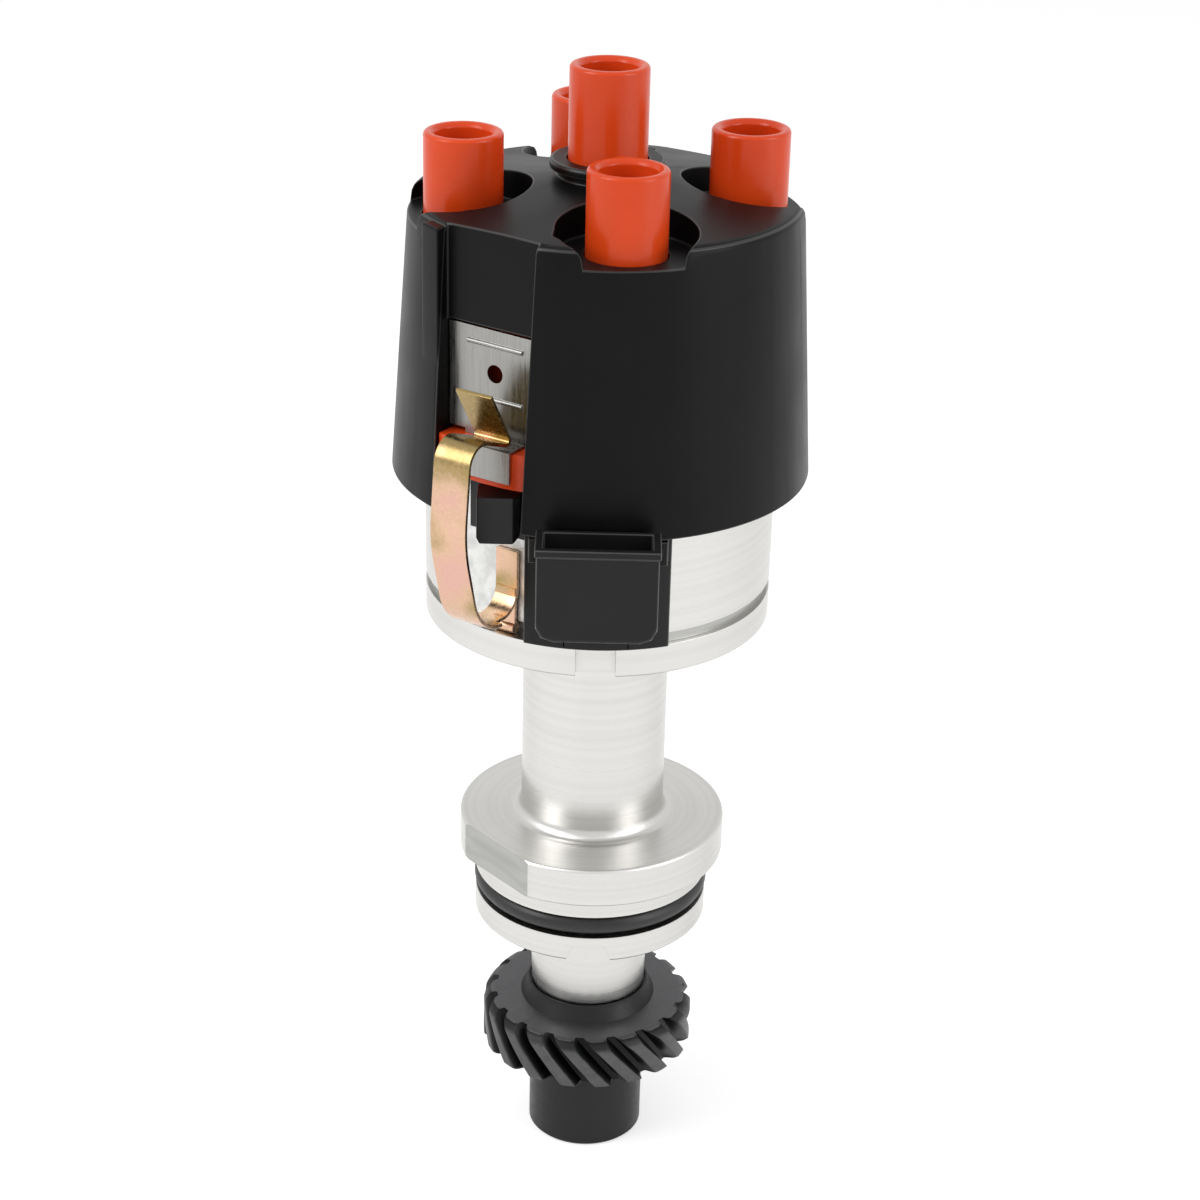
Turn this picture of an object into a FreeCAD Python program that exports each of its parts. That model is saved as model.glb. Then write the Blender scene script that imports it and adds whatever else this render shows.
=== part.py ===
import FreeCAD, Part
import math
import os

import Sketcher

# Ignition distributor for a four-cylinder engine, millimetres.
# Z is the shaft axis, pointing up to the lead towers. Z = 0 is the seating face
# under the collar, where the body rests on the engine. The connector faces -Y.
# An azimuth is measured about Z from the front (-Y) towards the left (-X).

SIZES = {
    # body of revolution
    "bowl_radius": 38.0,
    "bowl_wall": 5.5,
    "bowl_bottom": 60.7,
    "rim_height": 6.9,
    "band_height": 2.6,
    "band_depth": 1.2,
    "bowl_height": 40.3,
    "bowl_floor": 5.3,
    "ledge_height": 5.5,
    "ledge_width": 6.0,
    "cover_rebate": 1.1,
    "column_radius": 16.3,
    "column_fillet": 2.6,
    "collar_radius": 30.3,
    "collar_height": 9.2,
    "collar_chamfer": 0.5,
    "collar_flat_azimuth": 49.3,
    "collar_flat_depth": 2.2,
    "pilot_radius": 26.8,
    "pilot_length": 16.5,
    "pilot_chamfer": 0.6,
    "pilot_notch_width": 10.0,
    "pilot_notch_top": 7.2,
    "pilot_notch_height": 3.8,
    "pilot_notch_floor": 17.0,
    "neck_radius": 13.9,
    "neck_end_radius": 13.3,
    "neck_length": 20.4,
    "rim_notch_width": 8.4,
    "rim_notch_depth": 2.6,
    # seal
    "ring_section": 4.6,
    "ring_proud": 0.2,
    "ring_groove_width": 5.3,
    "ring_height": -7.6,
    # shaft and bushes
    "shaft_radius": 6.3,
    "hub_bore_depth": 10.75,
    "shoulder_drop": 2.3,
    "shaft_seat_radius": 5.2,
    "shaft_seat_length": 16.8,
    "bush_radius": 9.0,
    "bush_running_gap": 0.04,
    "bush_length": 25.0,
    "washer_radius": 12.5,
    "washer_thickness": 0.5,
    "washer_gap": 0.15,
    "shaft_collar_radius": 10.2,
    "shaft_collar_height": 3.4,
    "press_chamfer": 0.4,
    # drive gear
    "gear_tip_radius": 24.7,
    "gear_root_radius": 21.6,
    "gear_width": 12.1,
    "gear_teeth": 19,
    "gear_twist": 24.0,
    "gear_phase": 3.8,
    "tooth_root_share": 0.66,
    "tooth_shoulder_share": 0.38,
    "tooth_tip_share": 0.20,
    "tooth_crown": 0.45,
    "boss_radius": 16.2,
    "boss_top_radius": 14.2,
    "boss_height": 2.9,
    "hub_radius": 13.45,
    "hub_length": 24.2,
    "hub_chamfer": 0.6,
    "gear_pin_radius": 2.4,
    "gear_pin_recess": 0.4,
    "gear_pin_drop": 10.0,
    "drive_slot_width": 5.2,
    "drive_slot_depth": 8.0,
    "drive_slot_length": 21.0,
    "drive_bore_radius": 8.2,
    # trigger vane, circlip
    "vane_radius": 23.0,
    "vane_thickness": 1.1,
    "vane_drop": 1.9,
    "vane_height": 17.8,
    "vane_hub_radius": 9.0,
    "vane_hub_height": 12.5,
    "vane_windows": 4,
    "vane_window_angle": 45.0,
    "vane_window_height": 13.5,
    "circlip_radius": 8.4,
    "circlip_thickness": 1.0,
    "circlip_groove": 0.6,
    # sensor
    "plate_thickness": 1.5,
    "plate_bore_radius": 12.5,
    "plate_gap": 0.1,
    "screw_head_radius": 2.8,
    "screw_head_height": 2.0,
    "screw_radius": 1.5,
    "screw_length": 4.0,
    "screw_azimuth": 70.0,
    "sensor_width": 14.0,
    "sensor_base": 3.6,
    "sensor_leg": 4.2,
    "sensor_leg_height": 13.5,
    "sensor_air_gap": 1.4,
    # dust cover
    "cover_thickness": 1.4,
    "cover_bore_radius": 14.5,
    # rotor arm
    "rotor_hub_radius": 11.0,
    "rotor_hub_height": 18.6,
    "rotor_clearance": 0.3,
    "rotor_arm_width": 13.0,
    "rotor_arm_height": 9.5,
    "rotor_arm_reach": 20.6,
    "rotor_tail_reach": 14.5,
    "contact_thickness": 0.9,
    "contact_width": 6.0,
    "contact_reach": 22.6,
    "contact_drop": 6.5,
    # cap
    "cap_ring_height": 9.95,
    "cap_ring_inset": 0.6,
    "cap_body_radius": 33.0,
    "cap_crown": 47.7,
    "cap_wall": 5.4,
    "cap_roof": 9.0,
    "lug_reach": 5.0,
    "lug_side_gap": 0.15,
    "lug_height": 7.8,
    "tower_radius": 8.3,
    "tower_bore_radius": 5.9,
    "tower_pitch_radius": 30.0,
    "tower_turn": 8.0,
    "tower_height": 19.5,
    "centre_tower_height": 33.0,
    "tower_bore_depth": 17.0,
    "centre_bore_depth": 25.0,
    "tower_lip": 0.9,
    "terminal_radius": 3.4,
    "terminal_bore_radius": 2.2,
    "terminal_height": 6.0,
    "terminal_stem_radius": 2.0,
    "electrode_width": 5.0,
    "electrode_height": 6.0,
    "electrode_gap": 0.9,
    "brush_radius": 2.4,
    "brush_gap": 0.05,
    "brush_length": 9.0,
    "brush_boss_radius": 6.0,
    "brush_boss_drop": 17.2,
    "contact_gap": 0.05,
    "spring_wire": 0.4,
    "spring_pitch": 1.55,
    "spring_height": 6.2,
    # shield
    "shield_skirt": 6.3,
    "shield_lug_gap": 0.2,
    "shield_shoulder_rise": 5.9,
    "shield_taper": 3.9,
    "shield_edge": 1.6,
    "shield_wall": 2.0,
    "shield_dome": 4.6,
    "shield_neck_radius": 10.4,
    "shield_ring_radius": 12.1,
    "shield_ring_rise": 1.0,
    "shield_ring_height": 2.0,
    "tower_hole_gap": 0.25,
    "well_radius": 14.3,
    "channel_azimuth": 34.3,
    "channel_half_width": 11.8,
    "channel_gap": 3.2,
    "channel_cheek": 1.6,
    "channel_roof_drop": 19.8,
    "channel_cheek_drop": 2.45,
    # steel screen plates
    "screen_turn": 0.6,
    "screen_side_gap": 0.6,
    "screen_gap": 0.2,
    "screen_thickness": 0.6,
    "screen_roof_gap": 0.4,
    "screen_skirt": 0.95,
    "screen_hole_radius": 1.9,
    "screen_hole_drop": 9.2,
    "screen_rib_radius": 0.5,
    "screen_rib_half_length": 7.0,
    "screen_rib_drop": 3.2,
    "screen_rib_rise": 7.7,
    "tongue_half_width": 5.6,
    "tongue_drop": 6.35,
    "lug_fit": 0.05,
    # spring clips
    "clip_turn": 2.3,
    "clip_half_width": 4.3,
    "clip_leg_half_width": 2.7,
    "clip_thickness": 0.8,
    "clip_flat_depth": 3.0,
    "clip_flat_left": 14.0,
    "clip_flat_right": 6.6,
    "clip_leg_gap": 0.6,
    "clip_leg_drop": 14.6,
    "clip_bottom_rise": 2.9,
    "bow_foot_reach": 16.5,
    "bow_belly_reach": 22.1,
    "bow_belly_drop": 5.8,
    "bow_shoulder_reach": 19.9,
    "bow_shoulder_rise": 5.5,
    "clip_hook_inset": 2.9,
    "clip_hook_rise": 0.15,
    "clip_tab_reach": 8.0,
    "clip_tab_rise": 12.9,
    "clip_leg_bend": 5.0,
    "clip_foot_bend": 11.0,
    "clip_belly_bend": 30.0,
    "clip_shoulder_bend": 4.5,
    "clip_hook_bend": 0.9,
    "foot_radius": 1.2,
    "foot_gap": 0.9,
    "foot_half_width": 2.4,
    "foot_slot_half_width": 6.0,
    "foot_slot_depth": 1.6,
    # clip guides
    "guide_base_thickness": 1.5,
    "guide_base_left": 9.0,
    "guide_base_right": 6.4,
    "guide_base_drop": 11.3,
    "guide_left": 25.1,
    "guide_right": 16.2,
    "guide_depth": 8.0,
    "guide_drop": 10.3,
    "guide_chamfer": 1.3,
    # connector
    "socket_half_width": 12.3,
    "socket_standoff": 8.2,
    "socket_reach": 10.4,
    "socket_rise": 6.4,
    "socket_height": 24.3,
    "socket_wall": 1.35,
    "socket_floor": 6.0,
    "socket_corner": 3.6,
    "socket_rim": 0.35,
    "socket_rim_height": 2.4,
    "plate_azimuth": 22.8,
    "moulding_thickness": 1.2,
    "moulding_gap": 0.05,
    "moulding_drop": 5.4,
    "bridge_half_width": 11.0,
    "bridge_rise": 1.0,
    "bridge_drop": 6.3,
    "plug_half_width": 9.0,
    "plug_rise": 2.0,
    "plug_height": 13.0,
    "plug_gap": 0.1,
    "pin_pitch": 5.6,
    "pin_width": 2.8,
    "pin_thickness": 0.8,
    "pin_height": 13.0,
    "pin_root": 2.5,
    "foot_rib_spacing": 16.0,
    "foot_rib_width": 2.0,
    "latch_lug_width": 2.0,
    "latch_lug_height": 5.4,
}

doc = FreeCAD.newDocument("ignition_distributor")
sheet = doc.addObject("Spreadsheet::Sheet", "Sizes")
for row, (alias, number) in enumerate(SIZES.items(), start=1):
    sheet.set(f"A{row}", alias)
    sheet.set(f"B{row}", str(number))
    sheet.setAlias(f"B{row}", alias)
doc.recompute()


class Size:
    """A length, angle or ratio: its number, and the formula that gives it."""

    def __init__(self, number, formula):
        self.number = number
        self.formula = formula

    def __add__(self, other):
        other = as_size(other)
        return Size(self.number + other.number, f"({self.formula} + {other.formula})")

    def __sub__(self, other):
        other = as_size(other)
        return Size(self.number - other.number, f"({self.formula} - {other.formula})")

    def __mul__(self, other):
        other = as_size(other)
        return Size(self.number * other.number, f"({self.formula} * {other.formula})")

    def __truediv__(self, other):
        other = as_size(other)
        return Size(self.number / other.number, f"({self.formula} / {other.formula})")

    def __radd__(self, other):
        return as_size(other) + self

    def __rsub__(self, other):
        return as_size(other) - self

    def __rmul__(self, other):
        return as_size(other) * self

    def __neg__(self):
        return Size(-self.number, f"(-1 * {self.formula})")


def as_size(value):
    """A plain number becomes a size whose formula is the number itself."""
    if isinstance(value, Size):
        return value
    return Size(float(value), f"({float(value)!r})")


def sine(angle):
    angle = as_size(angle)
    return Size(math.sin(math.radians(angle.number)), f"sin({angle.formula} * 1 deg)")


def cosine(angle):
    angle = as_size(angle)
    return Size(math.cos(math.radians(angle.number)), f"cos({angle.formula} * 1 deg)")


class Sizes:
    """Gives each cell of the sheet as an attribute."""

    def __getattr__(self, alias):
        return Size(float(SIZES[alias]), f"Sizes.{alias}")


S = Sizes()
OPPOSITE = 180.0
QUARTER = -OPPOSITE / 2
FRONT = as_size(0.0)
UP = FreeCAD.Vector(0, 0, 1)
OVER = as_size(2.0)
FAR = S.bowl_radius * 2


def bind(obj, **formulas):
    """Tie properties of an object to sizes; a double underscore stands for a dot."""
    for name, size in formulas.items():
        obj.setExpression(name.replace("__", "."), as_size(size).formula)


def turn_about_z(obj, azimuth):
    """Point the object's local -Y to an azimuth."""
    azimuth = as_size(azimuth)
    rotation = FreeCAD.Rotation(UP, -azimuth.number)
    obj.Placement = FreeCAD.Placement(obj.Placement.Base, rotation)
    obj.setExpression("Placement.Rotation.Angle", f"-1 * {azimuth.formula} * 1 deg")


def polar(azimuth, across, reach):
    """X and Y of a point that lies across to the right and out along an azimuth."""
    x = across * cosine(azimuth) - reach * sine(azimuth)
    y = -(across * sine(azimuth)) - reach * cosine(azimuth)
    return x, y


def block(name, across, reach, height, azimuth=FRONT):
    """A box between two values each across, outwards and upwards, at an azimuth."""
    across = [as_size(v) for v in across]
    reach = [as_size(v) for v in reach]
    height = [as_size(v) for v in height]
    obj = doc.addObject("Part::Box", name)
    turn_about_z(obj, azimuth)
    x, y = polar(azimuth, across[0], reach[1])
    bind(obj, Length=across[1] - across[0], Width=reach[1] - reach[0])
    bind(obj, Height=height[1] - height[0])
    bind(obj, Placement__Base__x=x, Placement__Base__y=y, Placement__Base__z=height[0])
    return obj


def post(name, radius, height, azimuth=FRONT, across=0.0, reach=0.0):
    """An upright cylinder between two heights."""
    height = [as_size(v) for v in height]
    obj = doc.addObject("Part::Cylinder", name)
    x, y = polar(azimuth, as_size(across), as_size(reach))
    bind(obj, Radius=radius, Height=height[1] - height[0])
    bind(obj, Placement__Base__x=x, Placement__Base__y=y, Placement__Base__z=height[0])
    return obj


def bar_across(name, radius, across, reach, height, azimuth=FRONT):
    """A cylinder that lies across, between two values, at an azimuth."""
    azimuth = as_size(azimuth)
    across = [as_size(v) for v in across]
    obj = doc.addObject("Part::Cylinder", name)
    lie_down = FreeCAD.Rotation(FreeCAD.Vector(0, 1, 0), 90)
    obj.Placement = FreeCAD.Placement(FreeCAD.Vector(), FreeCAD.Rotation(UP, -azimuth.number) * lie_down)
    x, y = polar(azimuth, across[0], as_size(reach))
    bind(obj, Radius=radius, Height=across[1] - across[0])
    bind(obj, Placement__Base__x=x, Placement__Base__y=y, Placement__Base__z=height)
    return obj


def bar_outward(name, radius, reach, height, azimuth=FRONT, across=0.0):
    """A cylinder that lies outwards, between two reaches, at an azimuth."""
    azimuth = as_size(azimuth)
    reach = [as_size(v) for v in reach]
    obj = doc.addObject("Part::Cylinder", name)
    lie_down = FreeCAD.Rotation(FreeCAD.Vector(1, 0, 0), 90)
    obj.Placement = FreeCAD.Placement(FreeCAD.Vector(), FreeCAD.Rotation(UP, -azimuth.number) * lie_down)
    x, y = polar(azimuth, as_size(across), reach[0])
    bind(obj, Radius=radius, Height=reach[1] - reach[0])
    bind(obj, Placement__Base__x=x, Placement__Base__y=y, Placement__Base__z=height)
    return obj


def fuse(name, parts):
    if len(parts) == 1:
        return parts[0]
    obj = doc.addObject("Part::MultiFuse", name)
    obj.Shapes = parts
    obj.Refine = True
    return obj


def common(name, parts):
    obj = doc.addObject("Part::MultiCommon", name)
    obj.Shapes = parts
    return obj


def cut(name, base, tools):
    obj = doc.addObject("Part::Cut", name)
    obj.Base = base
    obj.Tool = fuse(f"{name}_tools", tools)
    obj.Refine = True
    return obj


def group(name, parts):
    """Several separate solids kept as one piece."""
    obj = doc.addObject("Part::Compound", name)
    obj.Links = parts
    return obj


def origin_plane(body, role):
    return [f for f in body.Origin.OriginFeatures if f.Role == role][0]


def closed_outline(body, name, role, points):
    """A sketch of a closed outline, with every corner tied to its two sizes."""
    sketch = body.newObject("Sketcher::SketchObject", name)
    sketch.AttachmentSupport = [(origin_plane(body, role), "")]
    sketch.MapMode = "FlatFace"
    points = [(as_size(x), as_size(y)) for x, y in points]
    vectors = [FreeCAD.Vector(x.number, y.number, 0) for x, y in points]
    count = len(points)
    lines = [Part.LineSegment(vectors[i], vectors[(i + 1) % count]) for i in range(count)]
    sketch.addGeometry(lines, False)
    for i in range(count):
        sketch.addConstraint(Sketcher.Constraint("Coincident", i, 2, (i + 1) % count, 1))
    formulas = {}
    for i, (x, y) in enumerate(points):
        for kind, size, axis in (("DistanceX", x, -2), ("DistanceY", y, -1)):
            if abs(size.number) < 1e-9:
                sketch.addConstraint(Sketcher.Constraint("PointOnObject", i, 1, axis))
                continue
            index = sketch.addConstraint(Sketcher.Constraint(kind, -1, 1, i, 1, size.number))
            label = f"{kind}{i}"
            sketch.renameConstraint(index, label)
            formulas[label] = size.formula
    for label, formula in formulas.items():
        sketch.setExpression(f"Constraints.{label}", formula)
    return sketch


def turned(name, points):
    """A piece turned on a lathe, from its half outline as radius and height."""
    body = doc.addObject("PartDesign::Body", name)
    sketch = closed_outline(body, f"{name}_outline", "XZ_Plane", points)
    revolution = body.newObject("PartDesign::Revolution", f"{name}_turning")
    revolution.Profile = sketch
    revolution.ReferenceAxis = (sketch, ["V_Axis"])
    revolution.Angle = 360.0
    return body


def profiled(name, role, points, length):
    """A prism padded to both sides of one of the main planes."""
    body = doc.addObject("PartDesign::Body", name)
    sketch = closed_outline(body, f"{name}_outline", role, points)
    pad = body.newObject("PartDesign::Pad", f"{name}_pad")
    pad.Profile = sketch
    pad.Midplane = True
    bind(pad, Length=length)
    return body


def fillet_where(obj, body, radius, wanted):
    """Round the edges of a body that a test picks out."""
    doc.recompute()
    tip = body.Tip
    names = [f"Edge{i}" for i, edge in enumerate(tip.Shape.Edges, start=1) if wanted(edge)]
    rounding = body.newObject("PartDesign::Fillet", obj)
    rounding.Base = (tip, names)
    bind(rounding, Radius=radius)
    return rounding


def is_ring(edge, radius, height, slack=0.01):
    """True for a full circle about Z with this radius and height."""
    curve = edge.Curve
    if curve.TypeId != "Part::GeomCircle":
        return False
    round_z = abs(curve.Axis.z) > 0.99 and math.hypot(curve.Center.x, curve.Center.y) < slack
    same = abs(curve.Radius - radius.number) < slack and abs(curve.Center.z - height.number) < slack
    return round_z and same


NODES = []


def node(name, obj):
    """Make an object one of the named pieces."""
    obj.Label = name
    NODES.append(obj)
    return obj


# heights that several pieces share
RIM_TOP = S.bowl_bottom + S.rim_height
BAND_TOP = RIM_TOP + S.band_height
BOWL_TOP = S.bowl_bottom + S.bowl_height
FLOOR = S.bowl_bottom + S.bowl_floor
LEDGE = FLOOR + S.ledge_height
BOWL_INSIDE = S.bowl_radius - S.bowl_wall
PILOT_END = -S.pilot_length
NECK_END = PILOT_END - S.neck_length
BOSS_TOP = NECK_END - S.washer_thickness - S.washer_gap
GEAR_TOP = BOSS_TOP - S.boss_height
GEAR_BOTTOM = GEAR_TOP - S.gear_width
HUB_BOTTOM = GEAR_BOTTOM - S.hub_length
SHAFT_END = HUB_BOTTOM + S.hub_bore_depth
SHOULDER = BOWL_TOP - S.shoulder_drop
VANE_TOP = SHOULDER - S.vane_drop
COVER_BOTTOM = BOWL_TOP - S.cover_thickness
CAP_RING_TOP = BOWL_TOP + S.cap_ring_height
CROWN = BOWL_TOP + S.cap_crown
ROOF_INSIDE = CROWN - S.cap_roof
WELL_FLOOR = CROWN + S.shield_wall
TOWER_TOP = CROWN + S.tower_height
CENTRE_TOWER_TOP = CROWN + S.centre_tower_height
ROTOR_BOTTOM = SHOULDER + S.circlip_thickness + S.rotor_clearance
ROTOR_TOP = ROTOR_BOTTOM + S.rotor_hub_height
CONTACT_TOP = ROTOR_TOP + S.contact_thickness
BRUSH_BOTTOM = CONTACT_TOP + S.contact_gap
BRUSH_TOP = BRUSH_BOTTOM + S.brush_length
SPRING_TOP = BRUSH_TOP + S.spring_height
TOWER_AZIMUTHS = [90.0 * i - S.tower_turn for i in range(4)]
SENSOR_FACE = S.vane_radius + S.sensor_air_gap + S.sensor_leg
SIDES = (("front", 0.0), ("rear", OPPOSITE))
LUG_RADIUS = S.bowl_radius + S.lug_reach
SHIELD_RADIUS = LUG_RADIUS + S.shield_lug_gap + S.shield_wall
SHIELD_TOP_RADIUS = SHIELD_RADIUS - S.shield_taper
SHIELD_BOTTOM = BOWL_TOP - S.shield_skirt
SHIELD_SHOULDER = CROWN + S.shield_shoulder_rise
SHIELD_CENTRE = SHIELD_SHOULDER + S.shield_dome
SHIELD_RING_BOTTOM = SHIELD_CENTRE + S.shield_ring_rise
CHANNEL_BACK = S.cap_body_radius + S.shield_wall + S.channel_gap
CHANNEL_ROOF = SHIELD_SHOULDER - S.channel_roof_drop
CHEEK_BOTTOM = CAP_RING_TOP - S.channel_cheek_drop
SCREEN_AZIMUTH = S.channel_azimuth + S.screen_turn
SCREEN_HALF_WIDTH = S.channel_half_width - S.screen_side_gap
SCREEN_FACE = CHANNEL_BACK - S.screen_gap
SCREEN_TOP = CHANNEL_ROOF - S.screen_roof_gap
SCREEN_BOTTOM = CAP_RING_TOP + S.screen_skirt
CLIP_AZIMUTH = S.channel_azimuth - S.clip_turn
CLIP_FLAT = S.bowl_radius - S.clip_flat_depth
CLIP_LEG = CLIP_FLAT + S.clip_leg_gap
CLIP_LEG_TOP = BOWL_TOP - S.clip_leg_drop
CLIP_BOTTOM = BAND_TOP + S.clip_bottom_rise
HOOK = LUG_RADIUS - S.clip_hook_inset
HOOK_HEIGHT = CAP_RING_TOP + S.screen_thickness + S.clip_hook_rise
FOOT_REACH = CLIP_FLAT + S.foot_gap
GUIDE_BASE_BOTTOM = BOWL_TOP - S.guide_base_drop
GUIDE_BACK = S.bowl_radius - S.guide_depth
GUIDE_BOTTOM = BOWL_TOP - S.guide_drop
SOCKET_BACK = S.bowl_radius + S.socket_standoff
SOCKET_FRONT = SOCKET_BACK + S.socket_reach
SOCKET_BOTTOM = RIM_TOP + S.socket_rise
SOCKET_TOP = SOCKET_BOTTOM + S.socket_height
MOULDING_TOP = BOWL_TOP - S.moulding_drop
PLUG_BOTTOM = SOCKET_BOTTOM + S.plug_rise
PLUG_TOP = PLUG_BOTTOM + S.plug_height


def make_housing():
    """Bowl, column, collar, pilot and neck in one turned body, then its machined cuts."""
    ring_centre = S.pilot_radius + S.ring_proud - S.ring_section / 2
    groove = ring_centre - S.ring_section / 2
    groove_low = S.ring_height - S.ring_groove_width / 2
    groove_high = S.ring_height + S.ring_groove_width / 2
    band = S.bowl_radius - S.band_depth
    rebate = BOWL_INSIDE + S.cover_rebate
    body = turned("housing_body", [
        (S.bush_radius, NECK_END),
        (S.neck_end_radius, NECK_END),
        (S.neck_radius, PILOT_END),
        (S.pilot_radius - S.pilot_chamfer, PILOT_END),
        (S.pilot_radius, PILOT_END + S.pilot_chamfer),
        (S.pilot_radius, groove_low),
        (groove, groove_low),
        (groove, groove_high),
        (S.pilot_radius, groove_high),
        (S.pilot_radius, 0.0),
        (S.collar_radius - S.collar_chamfer, 0.0),
        (S.collar_radius, S.collar_chamfer),
        (S.collar_radius, S.collar_height - S.collar_chamfer),
        (S.collar_radius - S.collar_chamfer, S.collar_height),
        (S.column_radius, S.collar_height),
        (S.column_radius, S.bowl_bottom),
        (S.bowl_radius - S.collar_chamfer, S.bowl_bottom),
        (S.bowl_radius, S.bowl_bottom + S.collar_chamfer),
        (S.bowl_radius, RIM_TOP),
        (band, RIM_TOP),
        (band, BAND_TOP),
        (S.bowl_radius, BAND_TOP),
        (S.bowl_radius, BOWL_TOP),
        (rebate, BOWL_TOP),
        (rebate, COVER_BOTTOM),
        (BOWL_INSIDE, COVER_BOTTOM),
        (BOWL_INSIDE, LEDGE),
        (BOWL_INSIDE - S.ledge_width, LEDGE),
        (BOWL_INSIDE - S.ledge_width, FLOOR),
        (S.bush_radius, FLOOR),
    ])
    fillet_where("column_foot", body, S.column_fillet, lambda e: is_ring(e, S.column_radius, S.collar_height))
    tools = [block("collar_flat", (-FAR, FAR), (S.collar_radius - S.collar_flat_depth, FAR),
                   (-OVER / 2, S.collar_height + OVER / 2), S.collar_flat_azimuth)]
    tools.append(pilot_notch())
    tools.append(block("rim_notch", (-S.rim_notch_width / 2, S.rim_notch_width / 2),
                       (S.bowl_radius - S.rim_notch_depth, FAR), (S.bowl_bottom - OVER, RIM_TOP)))
    tools.append(block("sensor_window", (-S.plug_half_width - S.plug_gap, S.plug_half_width + S.plug_gap),
                       (SENSOR_FACE, FAR), (PLUG_BOTTOM - S.plug_gap, PLUG_TOP + S.plug_gap)))
    for side, half_turn in SIDES:
        azimuth = CLIP_AZIMUTH + half_turn
        tools.append(block(f"clip_flat_{side}", (-S.clip_flat_left, S.clip_flat_right),
                           (CLIP_FLAT, FAR), (BAND_TOP, BOWL_TOP + OVER), azimuth))
        tools.append(block(f"foot_slot_{side}", (-S.foot_slot_half_width, S.foot_slot_half_width),
                           (CLIP_FLAT - S.foot_slot_depth, FAR), (RIM_TOP, BAND_TOP), azimuth))
        tools.append(post(f"screw_hole_{side}", S.screw_radius + S.plate_gap, (LEDGE - S.screw_length, LEDGE + OVER),
                          S.screw_azimuth + half_turn, reach=BOWL_INSIDE - S.ledge_width / 2))
    node("housing", cut("housing_cut", body, tools))


def pilot_notch():
    """The trapezoid notch in the lower edge of the pilot, at the front."""
    wide = S.pilot_notch_width / 2
    narrow = S.pilot_notch_top / 2
    top = PILOT_END + S.pilot_notch_height
    prism = profiled("pilot_notch_prism", "XZ_Plane", [
        (-wide, PILOT_END - OVER), (wide, PILOT_END - OVER), (wide, PILOT_END),
        (narrow, top), (-narrow, top), (-wide, PILOT_END),
    ], FAR * 2)
    keep = block("pilot_notch_keep", (-FAR, FAR), (S.pilot_notch_floor, FAR), (PILOT_END - OVER, 0.0))
    return common("pilot_notch", [prism, keep])


def make_ring():
    ring = doc.addObject("Part::Torus", "o_ring")
    bind(ring, Radius1=S.pilot_radius + S.ring_proud - S.ring_section / 2, Radius2=S.ring_section / 2)
    bind(ring, Placement__Base__z=S.ring_height)
    node("o_ring", ring)


def make_bushes():
    inside = S.shaft_radius + S.bush_running_gap
    for name, low, high in (("lower_bush", NECK_END, NECK_END + S.bush_length),
                            ("upper_bush", FLOOR - S.bush_length, FLOOR)):
        node(name, turned(name, [
            (inside, low), (S.bush_radius - S.press_chamfer, low), (S.bush_radius, low + S.press_chamfer),
            (S.bush_radius, high - S.press_chamfer), (S.bush_radius - S.press_chamfer, high), (inside, high),
        ]))


def make_washers():
    inside = S.shaft_radius + S.washer_gap
    node("lower_thrust_washer", turned("lower_thrust_washer", [
        (inside, NECK_END - S.washer_thickness), (S.washer_radius, NECK_END - S.washer_thickness),
        (S.washer_radius, NECK_END), (inside, NECK_END),
    ]))
    node("upper_thrust_washer", turned("upper_thrust_washer", [
        (inside, FLOOR), (S.washer_radius, FLOOR),
        (S.washer_radius, FLOOR + S.washer_thickness), (inside, FLOOR + S.washer_thickness),
    ]))


def make_shaft():
    """The drive shaft, with a groove for the circlip and a smaller seat for the rotor arm."""
    groove = S.shaft_radius - S.circlip_groove
    groove_low = SHOULDER - S.circlip_thickness
    seat_top = SHOULDER + S.shaft_seat_length
    body = turned("drive_shaft_body", [
        (0.0, SHAFT_END),
        (S.shaft_radius - S.press_chamfer, SHAFT_END),
        (S.shaft_radius, SHAFT_END + S.press_chamfer),
        (S.shaft_radius, VANE_TOP + S.press_chamfer / 4),
        (groove, VANE_TOP + S.press_chamfer / 4),
        (groove, VANE_TOP + S.press_chamfer / 4 + S.circlip_thickness),
        (S.shaft_radius, VANE_TOP + S.press_chamfer / 4 + S.circlip_thickness),
        (S.shaft_radius, SHOULDER),
        (S.shaft_seat_radius, SHOULDER),
        (S.shaft_seat_radius, seat_top - S.press_chamfer),
        (S.shaft_seat_radius - S.press_chamfer, seat_top),
        (0.0, seat_top),
    ])
    pin_hole = bar_across("shaft_pin_hole", S.gear_pin_radius, (-FAR, FAR), 0.0, GEAR_BOTTOM - S.gear_pin_drop)
    node("drive_shaft", cut("drive_shaft_cut", body, [pin_hole]))
    low = FLOOR + S.washer_thickness + S.washer_gap
    high = low + S.shaft_collar_height
    node("shaft_collar", turned("shaft_collar", [
        (S.shaft_radius, low), (S.shaft_collar_radius, low),
        (S.shaft_collar_radius, high - S.press_chamfer),
        (S.shaft_collar_radius - S.press_chamfer, high), (S.shaft_radius, high),
    ]))


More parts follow.
